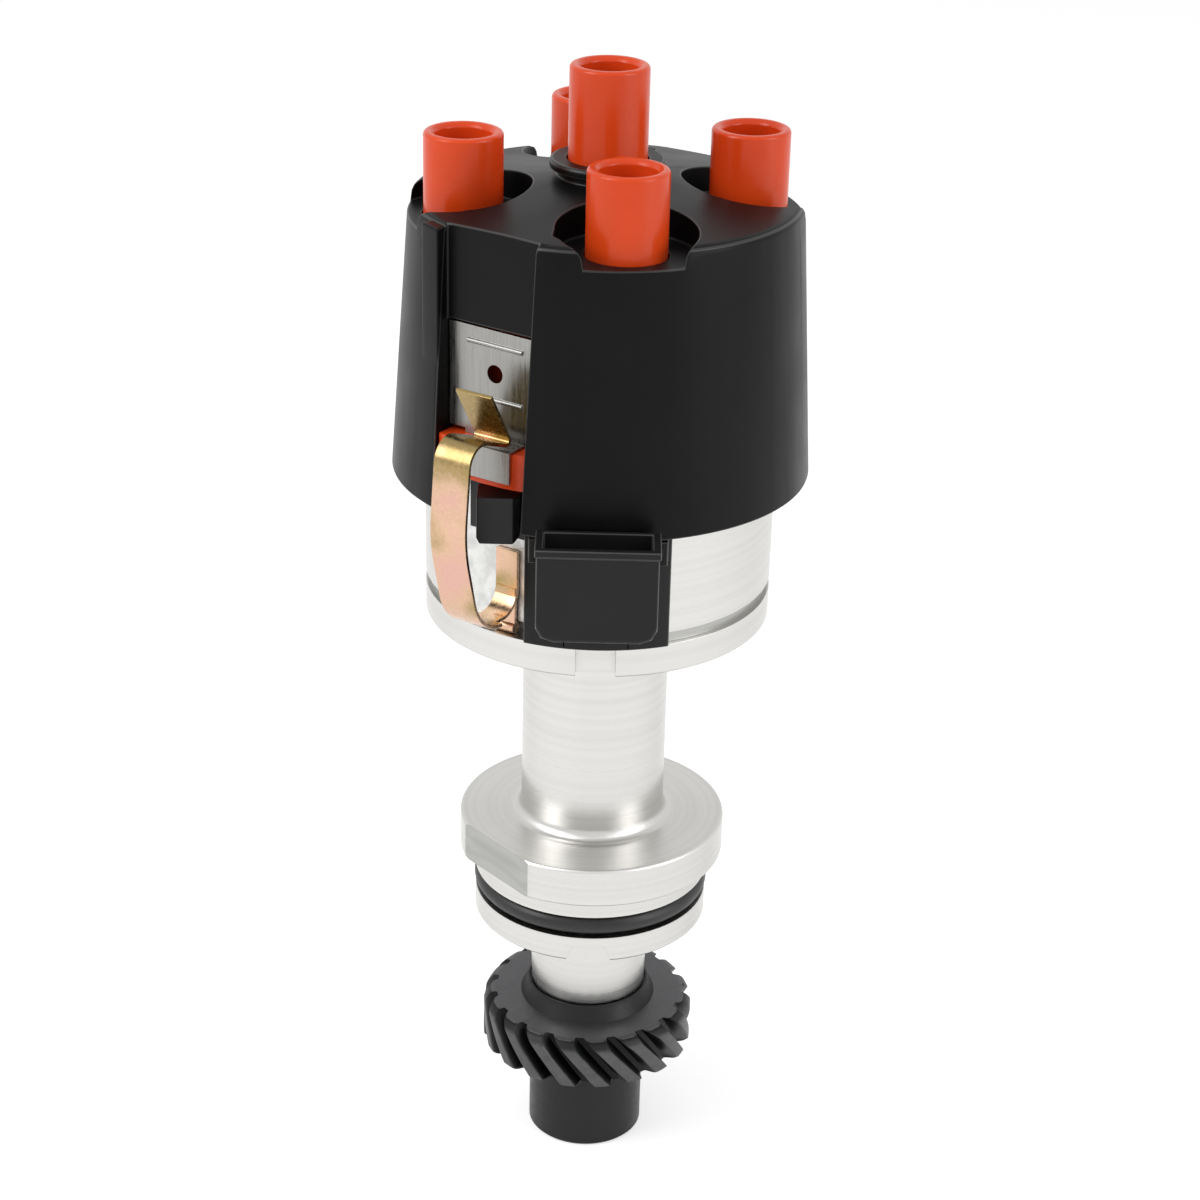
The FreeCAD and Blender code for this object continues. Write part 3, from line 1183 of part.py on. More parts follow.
def make_connector():
    """Black moulding on the bowl: curved plate, plug through the wall, and the open socket."""
    outside = S.bowl_radius + S.moulding_gap + S.moulding_thickness
    inside = S.bowl_radius + S.moulding_gap
    band = S.bowl_radius - S.band_depth + S.moulding_gap
    sleeve = turned("moulding_sleeve", [
        (band, RIM_TOP), (outside, RIM_TOP), (outside, MOULDING_TOP), (inside, MOULDING_TOP),
        (inside, BAND_TOP - S.moulding_gap), (band, BAND_TOP - S.moulding_gap),
    ])
    half_plate = outside * sine(S.plate_azimuth)
    slab = block("moulding_slab", (-half_plate, half_plate), (S.bowl_radius / 2, FAR), (RIM_TOP, MOULDING_TOP))
    plate = common("moulding_plate", [sleeve, slab])
    half = S.socket_half_width
    corner = S.socket_corner
    shell = profiled("socket_front_outline", "XZ_Plane", [
        (-half, SOCKET_BOTTOM + corner), (-half + corner * 0.3, SOCKET_BOTTOM + corner * 0.3),
        (-half + corner, SOCKET_BOTTOM), (half - corner, SOCKET_BOTTOM),
        (half - corner * 0.3, SOCKET_BOTTOM + corner * 0.3), (half, SOCKET_BOTTOM + corner),
        (half, SOCKET_TOP), (-half, SOCKET_TOP),
    ], FAR * 2)
    depth = block("socket_depth", (-FAR, FAR), (SOCKET_BACK, SOCKET_FRONT), (SOCKET_BOTTOM, SOCKET_TOP))
    socket = common("socket_shell", [shell, depth])
    rim = block("socket_rim_band", (-half - S.socket_rim, half + S.socket_rim),
                (SOCKET_BACK, SOCKET_FRONT + S.socket_rim),
                (SOCKET_TOP - S.socket_rim_height, SOCKET_TOP))
    bridge = block("socket_bridge", (-S.bridge_half_width, S.bridge_half_width),
                   (inside + S.moulding_thickness / 2, SOCKET_BACK + S.socket_wall / 2),
                   (SOCKET_BOTTOM + S.bridge_rise, SOCKET_TOP - S.bridge_drop))
    bridge_cut = cut("bridge_cut", bridge, [post("bridge_inside", inside, (RIM_TOP, BOWL_TOP))])
    plug = block("moulding_plug", (-S.plug_half_width, S.plug_half_width), (SENSOR_FACE, outside),
                 (PLUG_BOTTOM, PLUG_TOP))
    solids = [plate, socket, rim, bridge_cut, plug]
    for hand, sign in (("left", -1), ("right", 1)):
        centre = S.foot_rib_spacing / 2 * sign
        solids.append(block(f"foot_rib_{hand}", (centre - S.foot_rib_width / 2, centre + S.foot_rib_width / 2),
                            (S.bowl_radius - S.band_depth + S.moulding_thickness, SOCKET_FRONT - S.socket_wall * 3),
                            (RIM_TOP + S.band_height, SOCKET_BOTTOM + S.socket_wall)))
        lug = (half + S.latch_lug_width / 2) * sign
        solids.append(block(f"latch_lug_{hand}", (lug - S.latch_lug_width / 2, lug + S.latch_lug_width / 2),
                            (S.bowl_radius - OVER, outside + S.moulding_thickness / 2),
                            (MOULDING_TOP - S.latch_lug_height * 1.5, MOULDING_TOP - S.latch_lug_height / 2)))
    wall = S.socket_wall
    cavity = block("socket_cavity", (-half + wall, half - wall), (SOCKET_BACK + wall, SOCKET_FRONT - wall),
                   (SOCKET_BOTTOM + S.socket_floor, SOCKET_TOP + OVER))
    pin_low = SOCKET_BOTTOM + S.socket_floor - S.pin_root
    middle = (SOCKET_BACK + SOCKET_FRONT) / 2
    pins = []
    for i in range(3):
        centre = S.pin_pitch * (i - 1)
        pins.append(block(f"pin_{i}", (centre - S.pin_width / 2, centre + S.pin_width / 2),
                          (middle - S.pin_thickness / 2, middle + S.pin_thickness / 2),
                          (pin_low, pin_low + S.pin_height)))
    pin_group = group("connector_pins_group", pins)
    inner_bore = post("lug_inside", inside, (RIM_TOP, BOWL_TOP))
    keep_plug = fuse("moulding_solids", solids)
    hollow = cut("moulding_inner_trim", inner_bore, [plug])
    node("connector_socket", cut("connector_socket_cut", keep_plug, [cavity, pin_group, hollow]))
    node("connector_pins", pin_group)


make_housing()
make_ring()
make_bushes()
make_washers()
make_shaft()
make_gear()
make_vane()
make_sensor()
make_cover()
make_rotor()
make_cap(*make_terminals())
make_brush()
make_shield()
make_screens()
make_clips()
make_guides()
make_connector()

doc.recompute()
failed = [f"{obj.Name}: {obj.State}" for obj in doc.Objects if {"Invalid", "Error"} & set(obj.State)]
if failed:
    raise RuntimeError("these objects didn't build: " + ", ".join(failed))
os.makedirs("parts", exist_ok=True)
for obj in NODES:
    if obj.Shape.isNull() or not obj.Shape.isValid():
        raise RuntimeError(f"{obj.Label} has no valid shape")
    obj.Shape.exportStep(f"parts/{obj.Label}.step")
    print(f"{obj.Label}: {len(obj.Shape.Solids)} solid(s), {obj.Shape.Volume:.1f} mm3")
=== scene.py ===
import math

import bmesh
import bpy
from mathutils import Matrix, Vector


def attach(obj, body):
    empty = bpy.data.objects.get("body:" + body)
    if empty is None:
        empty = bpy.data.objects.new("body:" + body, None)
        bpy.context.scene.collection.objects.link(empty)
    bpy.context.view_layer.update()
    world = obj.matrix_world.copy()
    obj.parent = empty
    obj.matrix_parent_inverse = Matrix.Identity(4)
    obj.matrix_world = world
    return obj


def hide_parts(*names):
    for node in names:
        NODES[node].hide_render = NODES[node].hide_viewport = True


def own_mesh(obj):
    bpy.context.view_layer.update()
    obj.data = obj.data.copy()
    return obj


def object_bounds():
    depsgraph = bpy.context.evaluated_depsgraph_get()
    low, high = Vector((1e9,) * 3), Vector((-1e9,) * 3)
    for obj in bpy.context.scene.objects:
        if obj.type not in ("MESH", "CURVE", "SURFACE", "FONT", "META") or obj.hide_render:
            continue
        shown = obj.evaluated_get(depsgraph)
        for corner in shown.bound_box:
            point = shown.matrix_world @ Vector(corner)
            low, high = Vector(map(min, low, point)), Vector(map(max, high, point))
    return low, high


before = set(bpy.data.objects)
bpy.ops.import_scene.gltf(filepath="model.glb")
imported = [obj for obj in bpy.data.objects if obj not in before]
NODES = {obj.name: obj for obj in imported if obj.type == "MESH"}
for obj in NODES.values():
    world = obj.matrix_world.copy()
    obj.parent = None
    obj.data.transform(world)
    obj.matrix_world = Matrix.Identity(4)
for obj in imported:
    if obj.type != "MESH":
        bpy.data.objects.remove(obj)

bl_info = {
    "name": "Ignition Distributor",
    "version": (1, 0, 0),
    "blender": (4, 5, 0),
    "location": "3D View > Sidebar > Distributor",
    "description": "Dresses a modelled ignition distributor and sets its studio",
    "category": "Object",
}

MM = 0.001
CAD_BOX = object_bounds()
AXIS = Vector((0.0, 0.0, 0.0))
WHITE = (1.0, 1.0, 1.0, 1.0)

# azimuths in degrees, from the front towards the left; the rear's are half a turn on
CHANNEL_AZIMUTH = 34.3
CLIP_AZIMUTH = 32.0
PLATE_AZIMUTH = 34.9
COLLAR_FLAT_AZIMUTH = 49.3
TOWER_AZIMUTH = -8.0
SIDES = (("front", 0.0), ("rear", 180.0))

# sizes of the solids in millimetres, by which their parts are found
COLLAR_TOP = 9.2
RIM_TOP = 67.6
GROOVE_TOP = 70.2
SEAT_REACH = (30.0, 36.5)
CHANNEL_HALF = 11.8
LUG_HALF = 11.65
PLATE_HALF = 11.2
CHANNEL_BACK = 38.3
TOWER_REACH = 30.0
TOWER_RADIUS = 8.3
TOWER_TOPS = (168.2, 168.2, 168.2, 168.2, 181.7)
SHOULDER_BASE = 154.0
SOCKET_FRONT = -56.6
SOCKET_LIP = 96.0

# in millimetres too: points this close are joined, and this close to a size count as being at it
WELD = 0.002
NEAR = 0.03


def linear(hex_colour):
    """A colour written as sRGB hex, as the linear values that a shader takes."""
    values = [int(hex_colour[i:i + 2], 16) / 255 for i in (1, 3, 5)]
    return [v / 12.92 if v <= 0.04045 else ((v + 0.055) / 1.055) ** 2.4 for v in values] + [1.0]


def to_hex(colour):
    """The sRGB hex value of a colour property."""
    return "#" + "".join(f"{round(255 * c):02X}" for c in colour[:3])


def from_hex(hex_colour):
    """The default of a colour property, which is kept in sRGB."""
    return tuple(int(hex_colour[i:i + 2], 16) / 255 for i in (1, 3, 5))


def per_metre(grain_mm):
    """The scale of a noise whose spots are about this many millimetres across."""
    return 1 / (grain_mm * MM * 2)


# materials


def feed(tree, node, links):
    """Join sockets to a node's inputs."""
    for socket, source in links.items():
        tree.links.new(source, node.inputs[socket])


def add_node(tree, kind, settings=None, inputs=None, links=None, stops=()):
    """Add a node: its options, the values of its inputs, what feeds them, and a colour ramp's stops."""
    node = tree.nodes.new(kind)
    for name, value in (settings or {}).items():
        setattr(node, name, value)
    for socket, value in (inputs or {}).items():
        node.inputs[socket].default_value = value
    feed(tree, node, links or {})
    for i, (place, colour) in enumerate(stops):
        element = node.color_ramp.elements[i] if i < 2 else node.color_ramp.elements.new(place)
        element.position = place
        element.color = linear(colour)
    return node


def new_material(name, colour, metallic, roughness, **sockets):
    """A material with one Principled shader, and the Object coordinates that its patterns read."""
    material = bpy.data.materials.new(name)
    material.use_nodes = True
    tree = material.node_tree
    tree.nodes.clear()
    shader = add_node(tree, "ShaderNodeBsdfPrincipled", inputs={
        "Base Color": linear(colour), "Metallic": metallic, "Roughness": roughness,
        **{socket.replace("_", " "): value for socket, value in sockets.items()}})
    output = add_node(tree, "ShaderNodeOutputMaterial")
    feed(tree, output, {"Surface": shader.outputs["BSDF"]})
    place = add_node(tree, "ShaderNodeTexCoord")
    return material, tree, shader, place.outputs["Object"]


def moulded_plastic(name, colour, cloudy, roughness, grain_mm, depth_mm, **sockets):
    """Injection moulded plastic: even colour, faint cloudiness, and the fine grain of the mould's steel."""
    material, tree, shader, place = new_material(name, colour, 0.0, roughness, **sockets)
    cloud = add_node(tree, "ShaderNodeTexNoise", inputs={"Scale": per_metre(9.0), "Detail": 2.0},
                     links={"Vector": place})
    tint = add_node(tree, "ShaderNodeValToRGB", links={"Fac": cloud.outputs["Fac"]},
                    stops=((0.35, cloudy), (0.7, colour)))
    grain = add_node(tree, "ShaderNodeTexNoise", inputs={"Scale": per_metre(grain_mm), "Detail": 4.0},
                     links={"Vector": place})
    sheen = add_node(tree, "ShaderNodeMapRange", inputs={
        "From Min": 0.3, "From Max": 0.7, "To Min": roughness - 0.04, "To Max": roughness + 0.05},
        links={"Value": cloud.outputs["Fac"]})
    relief = add_node(tree, "ShaderNodeBump", inputs={"Distance": depth_mm * MM},
                      links={"Height": grain.outputs["Fac"]})
    feed(tree, shader, {"Base Color": tint.outputs["Color"], "Roughness": sheen.outputs["Result"],
                        "Normal": relief.outputs["Normal"]})
    return material


def turned_metal(name, colour, duller, roughness, pitch_mm, depth_mm, stretch=0.55):
    """Metal from the lathe: rings of tool marks round the shaft's line, so highlights draw out across them.

    Real marks are near 0.05 mm apart, too fine to show, so they are drawn as coarse as the pitch."""
    material, tree, shader, place = new_material(name, colour, 1.0, roughness, Anisotropic=stretch)
    parts = add_node(tree, "ShaderNodeSeparateXYZ", links={"Vector": place})
    flat = add_node(tree, "ShaderNodeVectorMath", {"operation": "MULTIPLY"}, {1: (1.0, 1.0, 0.0)},
                    {0: place})
    radius = add_node(tree, "ShaderNodeVectorMath", {"operation": "LENGTH"},
                      links={0: flat.outputs["Vector"]})
    section = add_node(tree, "ShaderNodeCombineXYZ",
                       links={"X": radius.outputs["Value"], "Z": parts.outputs["Z"]})
    marks = add_node(tree, "ShaderNodeTexNoise", inputs={
        "Scale": per_metre(pitch_mm), "Detail": 3.0, "Roughness": 0.7},
        links={"Vector": section.outputs["Vector"]})
    bands = add_node(tree, "ShaderNodeTexNoise", inputs={"Scale": per_metre(pitch_mm * 4), "Detail": 3.0},
                     links={"Vector": section.outputs["Vector"]})
    tint = add_node(tree, "ShaderNodeValToRGB", links={"Fac": bands.outputs["Fac"]},
                    stops=((0.35, duller), (0.6, colour)))
    gloss = add_node(tree, "ShaderNodeMapRange", inputs={
        "From Min": 0.3, "From Max": 0.7, "To Min": roughness - 0.05, "To Max": roughness + 0.07},
        links={"Value": marks.outputs["Fac"]})
    relief = add_node(tree, "ShaderNodeBump", inputs={"Distance": depth_mm * MM},
                      links={"Height": marks.outputs["Fac"]})
    ring = add_node(tree, "ShaderNodeTangent", {"direction_type": "RADIAL", "axis": "Z"})
    feed(tree, shader, {"Base Color": tint.outputs["Color"], "Roughness": gloss.outputs["Result"],
                        "Normal": relief.outputs["Normal"], "Tangent": ring.outputs["Tangent"]})
    return material


def blasted_aluminium(name, colour, duller):
    """Cast aluminium under a steel-shot blast: a bright, even sparkle of small dents, about 0.4 mm each."""
    material, tree, shader, place = new_material(name, colour, 1.0, 0.45)
    dents = add_node(tree, "ShaderNodeTexVoronoi", {"feature": "SMOOTH_F1"},
                     {"Scale": per_metre(0.2), "Smoothness": 0.6}, {"Vector": place})
    cloud = add_node(tree, "ShaderNodeTexNoise", inputs={"Scale": per_metre(1.2), "Detail": 3.0},
                     links={"Vector": place})
    tint = add_node(tree, "ShaderNodeValToRGB", links={"Fac": cloud.outputs["Fac"]},
                    stops=((0.35, duller), (0.65, colour)))
    relief = add_node(tree, "ShaderNodeBump", inputs={"Distance": 0.05 * MM},
                      links={"Height": dents.outputs["Distance"]})
    feed(tree, shader, {"Base Color": tint.outputs["Color"], "Normal": relief.outputs["Normal"]})
    return material


def blackened_steel(name, colour, painted_gap_shade, painted_highlight):
    """Black oxide on cut steel: a thin oily film. Painted shade makes it near black in the tooth spaces,
    and a painted highlight makes it greyer at the tips.

    The radius picks the colour: the hub, then the floor between the teeth at 20.5 mm, then the tooth up to
    24.7 mm."""
    material, tree, shader, place = new_material(name, colour, 0.7, 0.42)
    flat = add_node(tree, "ShaderNodeVectorMath", {"operation": "MULTIPLY"}, {1: (1.0, 1.0, 0.0)},
                    {0: place})
    radius = add_node(tree, "ShaderNodeVectorMath", {"operation": "LENGTH"},
                      links={0: flat.outputs["Vector"]})
    mottle = add_node(tree, "ShaderNodeTexNoise", inputs={"Scale": per_metre(0.9), "Detail": 5.0},
                      links={"Vector": place})
    # painted shade on the floor between the teeth and a painted highlight at their tips, picked by radius
    painted_shade_and_highlight = add_node(tree, "ShaderNodeMapRange", inputs={
        "From Min": 0.0205, "From Max": 0.0247, "To Min": 0.0, "To Max": 0.9},
        links={"Value": radius.outputs["Value"]})
    both = add_node(tree, "ShaderNodeMath", {"operation": "MULTIPLY_ADD"}, {1: 0.1},
                    {0: mottle.outputs["Fac"], 2: painted_shade_and_highlight.outputs["Result"]})
    tint = add_node(tree, "ShaderNodeValToRGB", links={"Fac": both.outputs["Value"]},
                    stops=((0.08, colour), (1.0, painted_highlight), (0.25, painted_gap_shade), (0.55, painted_gap_shade), (0.85, colour)))
    gloss = add_node(tree, "ShaderNodeMapRange", inputs={
        "From Min": 0.3, "From Max": 0.7, "To Min": 0.38, "To Max": 0.46},
        links={"Value": mottle.outputs["Fac"]})
    relief = add_node(tree, "ShaderNodeBump", inputs={"Distance": 0.012 * MM},
                      links={"Height": mottle.outputs["Fac"]})
    feed(tree, shader, {"Base Color": tint.outputs["Color"], "Roughness": gloss.outputs["Result"],
                        "Normal": relief.outputs["Normal"]})
    return material


def yellow_zinc(name, colour, pink, olive):
    """Yellow chromate on zinc plated spring steel: pale gold that drifts to pink, finely speckled.

    From 104 mm to 116 mm up, where the strip ends in its tab, the colour turns olive:
    a painted reflection of a dark band in the surroundings."""
    material, tree, shader, place = new_material(name, colour, 1.0, 0.28)
    drift = add_node(tree, "ShaderNodeTexNoise", inputs={"Scale": per_metre(6.0), "Detail": 2.0},
                     links={"Vector": place})
    speckle = add_node(tree, "ShaderNodeTexNoise", inputs={"Scale": per_metre(0.45), "Detail": 4.0},
                       links={"Vector": place})
    both = add_node(tree, "ShaderNodeMath", {"operation": "MULTIPLY_ADD"}, {1: 0.2},
                    {0: speckle.outputs["Fac"], 2: drift.outputs["Fac"]})
    parts = add_node(tree, "ShaderNodeSeparateXYZ", links={"Vector": place})
    # painted reflection: the colour turns a darker olive from 104 mm to 116 mm up
    tab = add_node(tree, "ShaderNodeMapRange", inputs={
        "From Min": 0.104, "From Max": 0.116, "To Min": 0.0, "To Max": 0.3},
        links={"Value": parts.outputs["Z"]})
    shift = add_node(tree, "ShaderNodeMath", {"operation": "SUBTRACT"},
                     links={0: both.outputs["Value"], 1: tab.outputs["Result"]})
    tint = add_node(tree, "ShaderNodeValToRGB", links={"Fac": shift.outputs["Value"]},
                    stops=((0.4, olive), (0.6, colour), (0.75, pink)))
    gloss = add_node(tree, "ShaderNodeMapRange", inputs={
        "From Min": 0.3, "From Max": 0.7, "To Min": 0.2, "To Max": 0.36},
        links={"Value": speckle.outputs["Fac"]})
    relief = add_node(tree, "ShaderNodeBump", inputs={"Distance": 0.02 * MM},
                      links={"Height": speckle.outputs["Fac"]})
    feed(tree, shader, {"Base Color": tint.outputs["Color"], "Roughness": gloss.outputs["Result"],
                        "Normal": relief.outputs["Normal"]})
    return material


def rolled_steel(name, colour, duller, roughness=0.3):
    """Rolled and zinc plated sheet: fine lines along its height and a soft satin reflection."""
    material, tree, shader, place = new_material(name, colour, 1.0, roughness)
    stretch = add_node(tree, "ShaderNodeMapping", inputs={"Scale": (1.0, 1.0, 0.05)},
                       links={"Vector": place})
    lines = add_node(tree, "ShaderNodeTexNoise", inputs={"Scale": per_metre(0.3), "Detail": 3.0},
                     links={"Vector": stretch.outputs["Vector"]})
    tint = add_node(tree, "ShaderNodeValToRGB", links={"Fac": lines.outputs["Fac"]},
                    stops=((0.35, duller), (0.65, colour)))
    gloss = add_node(tree, "ShaderNodeMapRange", inputs={
        "From Min": 0.3, "From Max": 0.7, "To Min": roughness - 0.06, "To Max": roughness + 0.08},
        links={"Value": lines.outputs["Fac"]})
    relief = add_node(tree, "ShaderNodeBump", inputs={"Distance": 0.01 * MM},
                      links={"Height": lines.outputs["Fac"]})
    feed(tree, shader, {"Base Color": tint.outputs["Color"], "Roughness": gloss.outputs["Result"],
                        "Normal": relief.outputs["Normal"]})
    return material


def nitrile_rubber(name, colour, dusty):
    """Moulded nitrile rubber: near black, a light oily sheen, and dust where it was handled."""
    material, tree, shader, place = new_material(name, colour, 0.0, 0.38)
    dust = add_node(tree, "ShaderNodeTexNoise", inputs={"Scale": per_metre(2.5), "Detail": 4.0},
                    links={"Vector": place})
    tint = add_node(tree, "ShaderNodeValToRGB", links={"Fac": dust.outputs["Fac"]},
                    stops=((0.4, colour), (0.8, dusty)))
    gloss = add_node(tree, "ShaderNodeMapRange", inputs={
        "From Min": 0.3, "From Max": 0.7, "To Min": 0.32, "To Max": 0.5},
        links={"Value": dust.outputs["Fac"]})
    relief = add_node(tree, "ShaderNodeBump", inputs={"Distance": 0.01 * MM},
                      links={"Height": dust.outputs["Fac"]})
    feed(tree, shader, {"Base Color": tint.outputs["Color"], "Roughness": gloss.outputs["Result"],
                        "Normal": relief.outputs["Normal"]})
    return material


# sizes and colours that a user would change


def colour_property(name, hex_colour, description):
    """A colour that a user can change, kept in sRGB."""
    return bpy.props.FloatVectorProperty(name=name, description=description, default=from_hex(hex_colour),
                                         size=3, min=0.0, max=1.0, subtype="COLOR_GAMMA")


class DistributorFinish(bpy.types.PropertyGroup):
    cap: colour_property("Cap", "#E24A18", "Colour of the cap's moulding")
    shield: colour_property("Shield", "#0F0F10", "Colour of the suppression shield")
    socket: colour_property("Socket", "#1B1B1B", "Colour of the connector's moulding")
    aluminium: colour_property("Aluminium", "#CECDCA", "Colour of the turned body")
    gear: colour_property("Gear", "#262627", "Colour of the blackened gear")
    zinc: colour_property("Zinc", "#CDAB90", "Main colour of the spring clips")
    steel: colour_property("Steel", "#979693", "Colour of the screen plates")


def length_property(name, size_mm, description):
    """A length that a user can change, given in millimetres."""
    return bpy.props.FloatProperty(name=name, description=description, default=size_mm * MM, min=0.0,
                                   precision=5, unit="LENGTH")


class DistributorSizes(bpy.types.PropertyGroup):
    shield_rounding: length_property("Shield rounding", 0.35, "Width of the shield's rounded edges")
    shoulder_drop: length_property("Shoulder drop", 1.7, "How much lower the dome's shoulder lies")
    tower_chamfer: length_property("Tower chamfer", 0.8, "Width of the chamfer round each tower's mouth")
    tooth_droop: length_property("Tooth droop", 2.4, "How far the gear's tips lie below its face")
    socket_rounding: length_property("Socket rounding", 1.2, "Width of the rounding of the socket's front")
    brush_travel: length_property("Brush travel", 1.5, "How far the brush pushes its spring together")


class DistributorStudio(bpy.types.PropertyGroup):
    camera_distance: bpy.props.FloatProperty(
        name="Camera distance", description="How far the camera stands from the shaft's axis",
        default=0.5339, min=0.1, unit="LENGTH")
    camera_height: bpy.props.FloatProperty(
        name="Camera height", description="The camera's height above the seating face",
        default=0.3064, unit="LENGTH")
    camera_pitch: bpy.props.FloatProperty(
        name="Camera pitch", description="How far the camera looks down",
        default=math.radians(24.816), subtype="ANGLE")
    camera_roll: bpy.props.FloatProperty(
        name="Camera roll", description="How far the camera leans",
        default=math.radians(1.454), subtype="ANGLE")
    camera_yaw: bpy.props.FloatProperty(
        name="Camera yaw", description="How far the camera turns aside",
        default=math.radians(0.078), subtype="ANGLE")
    lens: bpy.props.FloatProperty(
        name="Lens", description="Focal length on a 36 mm sensor, in millimetres", default=79.06, min=10.0)
    key_power: bpy.props.FloatProperty(
        name="Key power", description="Power of the large lamp", default=6.0, min=0.0, unit="POWER")


# pieces


def link_piece(name, mesh, materials, slot, body, *nodes):
    """Make an object of a bmesh, ride it on its body, and let it stand for the CAD nodes it replaces."""
    data = bpy.data.meshes.new(name)
    mesh.to_mesh(data)
    mesh.free()
    for material in materials:
        data.materials.append(material)
    piece = bpy.data.objects.new(name, data)
    bpy.context.scene.collection.objects.link(piece)
    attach(piece, body)
    if nodes:
        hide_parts(*nodes)
    return piece


def smooth_faces(mesh, angle=32.0):
    """Shade every face smooth, and keep edges sharper than the angle crisp."""
    for face in mesh.faces:
        face.smooth = True
    for edge in mesh.edges:
        edge.smooth = edge.is_manifold and edge.calc_face_angle(0.0) < math.radians(angle)


def flat_normals(piece):
    """Keep wide faces flat beside their rounded edges."""
    modifier = piece.modifiers.new("weighted normals", "WEIGHTED_NORMAL")
    modifier.keep_sharp = True


def merged_copy(node):
    """A CAD node's mesh as joined faces: its loose triangles are welded and its flat ones made one."""
    mesh = bmesh.new()
    mesh.from_mesh(NODES[node].data)
    bmesh.ops.remove_doubles(mesh, verts=mesh.verts, dist=WELD * MM)
    bmesh.ops.dissolve_limit(mesh, angle_limit=math.radians(0.3), verts=mesh.verts, edges=mesh.edges)
    return mesh


def round_edges(mesh, width_mm, segments=2, angle=32.0, wanted=None, slot=0):
    """Bevel the edges sharper than the angle, or those of them that are wanted, in one material."""
    sharp = [edge for edge in mesh.edges if edge.is_manifold
             and edge.calc_face_angle(0.0) > math.radians(angle) and (wanted is None or wanted(edge))]
    made = bmesh.ops.bevel(mesh, geom=sharp, offset=width_mm * MM, segments=segments, profile=0.5,
                           affect="EDGES", material=-1, clamp_overlap=False)
    if slot:
        for face in made["faces"]:
            face.material_index = slot


def finished(name, mesh, materials, slot, body, *nodes):
    """Smooth a mesh and make it a piece."""
    smooth_faces(mesh)
    piece = link_piece(name, mesh, materials, slot, body, *nodes)
    flat_normals(piece)
    return piece


def dressed(node, materials, slot, body, width_mm, shape=None):
    """A CAD node's copy with rounded edges; a second material is for the edges alone."""
    mesh = merged_copy(node)
    if shape:
        shape(mesh)
    round_edges(mesh, width_mm, slot=len(materials) - 1)
    return finished(f"{node}_dressed", mesh, materials, slot, body, node)


def paint(nodes, material):
    """Give CAD nodes one material."""
    for name in nodes:
        data = NODES[name].data
        data.materials.clear()
        data.materials.append(material)


def outward(azimuth):
    """The level direction at an azimuth, which is measured from the front towards the left."""
    return Vector((-math.sin(math.radians(azimuth)), -math.cos(math.radians(azimuth)), 0.0))


def sideways(azimuth):
    """The level direction at right angles to an azimuth, to the right as one faces the part there."""
    return Matrix.Rotation(math.pi / 2, 3, "Z") @ outward(azimuth)


def slide_sides(mesh, azimuth, moves, flat_reach=math.inf):
    """Move upright side faces across an azimuth: what lies beyond the flat reach keeps its radius.

    Points that a side passes on its way inwards are drawn together over the last 1.5 mm before it."""
    across = sideways(azimuth)
    least_reach, drawn = 30.0, 1.5
    for vert in mesh.verts:
        reach = vert.co.dot(outward(azimuth)) / MM
        place = vert.co.dot(across) / MM
        for found, real in moves:
            start = real - drawn
            passed = reach < flat_reach and real < found and start < place < found
            if reach > least_reach and (passed or abs(place - found) < NEAR):
                radius = vert.co.xy.length
                share = min((place - start) / (found - start), 1.0) if passed else 1.0
                vert.co += across * (start + share * (real - start) - place) * MM
                if reach > flat_reach:
                    vert.co.xy = vert.co.xy.normalized() * radius
                break
    bmesh.ops.remove_doubles(mesh, verts=mesh.verts, dist=WELD * MM)


def edges_of(parts):
    """The edges in what an operator of the mesh gives back."""
    return [part for part in parts if isinstance(part, bmesh.types.BMEdge)]


def drawn_loop(mesh, edges, reach_mm=None, rise_mm=0.0):
    """Extrude a loop of edges once: the new loop is raised and set to a radius."""
    made = bmesh.ops.extrude_edge_only(mesh, edges=edges)["geom"]
    verts = [part for part in made if isinstance(part, bmesh.types.BMVert)]
    bmesh.ops.translate(mesh, verts=verts, vec=(0.0, 0.0, rise_mm * MM))
    if reach_mm:
        for vert in verts:
            vert.co.xy = vert.co.xy.normalized() * reach_mm * MM
    return [edge for edge in edges_of(made) if edge.is_boundary]


class DISTRIBUTOR_OT_body(bpy.types.Operator):
    """Finish the turned aluminium body and its seal"""

    bl_idname = "distributor.body"
    bl_label = "Body"

    def execute(self, context):
        finish = context.scene.distributor_finish
        # turned casting: bright and satin, with fine rings that stretch each highlight
        aluminium = turned_metal("turned cast aluminium", to_hex(finish.aluminium), "#C8C7C4", 0.3, 0.2,
                                 0.004)
        # the clips' seats are left as blasted, and the collar's flat looks duller; the bowl's groove is
        # darker as painted shade
        blasted = blasted_aluminium("blasted cast aluminium", "#D8D8D6", "#C2C2C0")
        milled_and_painted_shade = turned_metal("milled aluminium", "#A9A9A6", "#9E9E9B", 0.36, 0.3, 0.004, 0.2)
        mesh = merged_copy("housing")
        facing = 0.999
        for face in mesh.faces:
            centre = face.calc_center_median() / MM
            for side, turn in SIDES:
                way = outward(CLIP_AZIMUTH + turn)
                if (face.normal.dot(way) > facing and SEAT_REACH[0] < centre.dot(way) < SEAT_REACH[1]
                        and centre.z > 68.0):
                    face.material_index = 1
            if face.normal.dot(outward(COLLAR_FLAT_AZIMUTH)) > facing and 0.0 < centre.z < COLLAR_TOP:
                face.material_index = 2
            # painted shade: the bowl's groove takes the darker material
            if centre.xy.length > 36.0 and abs(face.normal.z) < 0.1 and RIM_TOP < centre.z < GROOVE_TOP:
                face.material_index = 2
        round_edges(mesh, 0.2)
        finished("housing_dressed", mesh, [aluminium, blasted, milled_and_painted_shade], "cast_aluminium", "body", "housing")
        paint(["o_ring"], nitrile_rubber("nitrile rubber", "#0C0C0C", "#1D1D1C"))
        return {"FINISHED"}


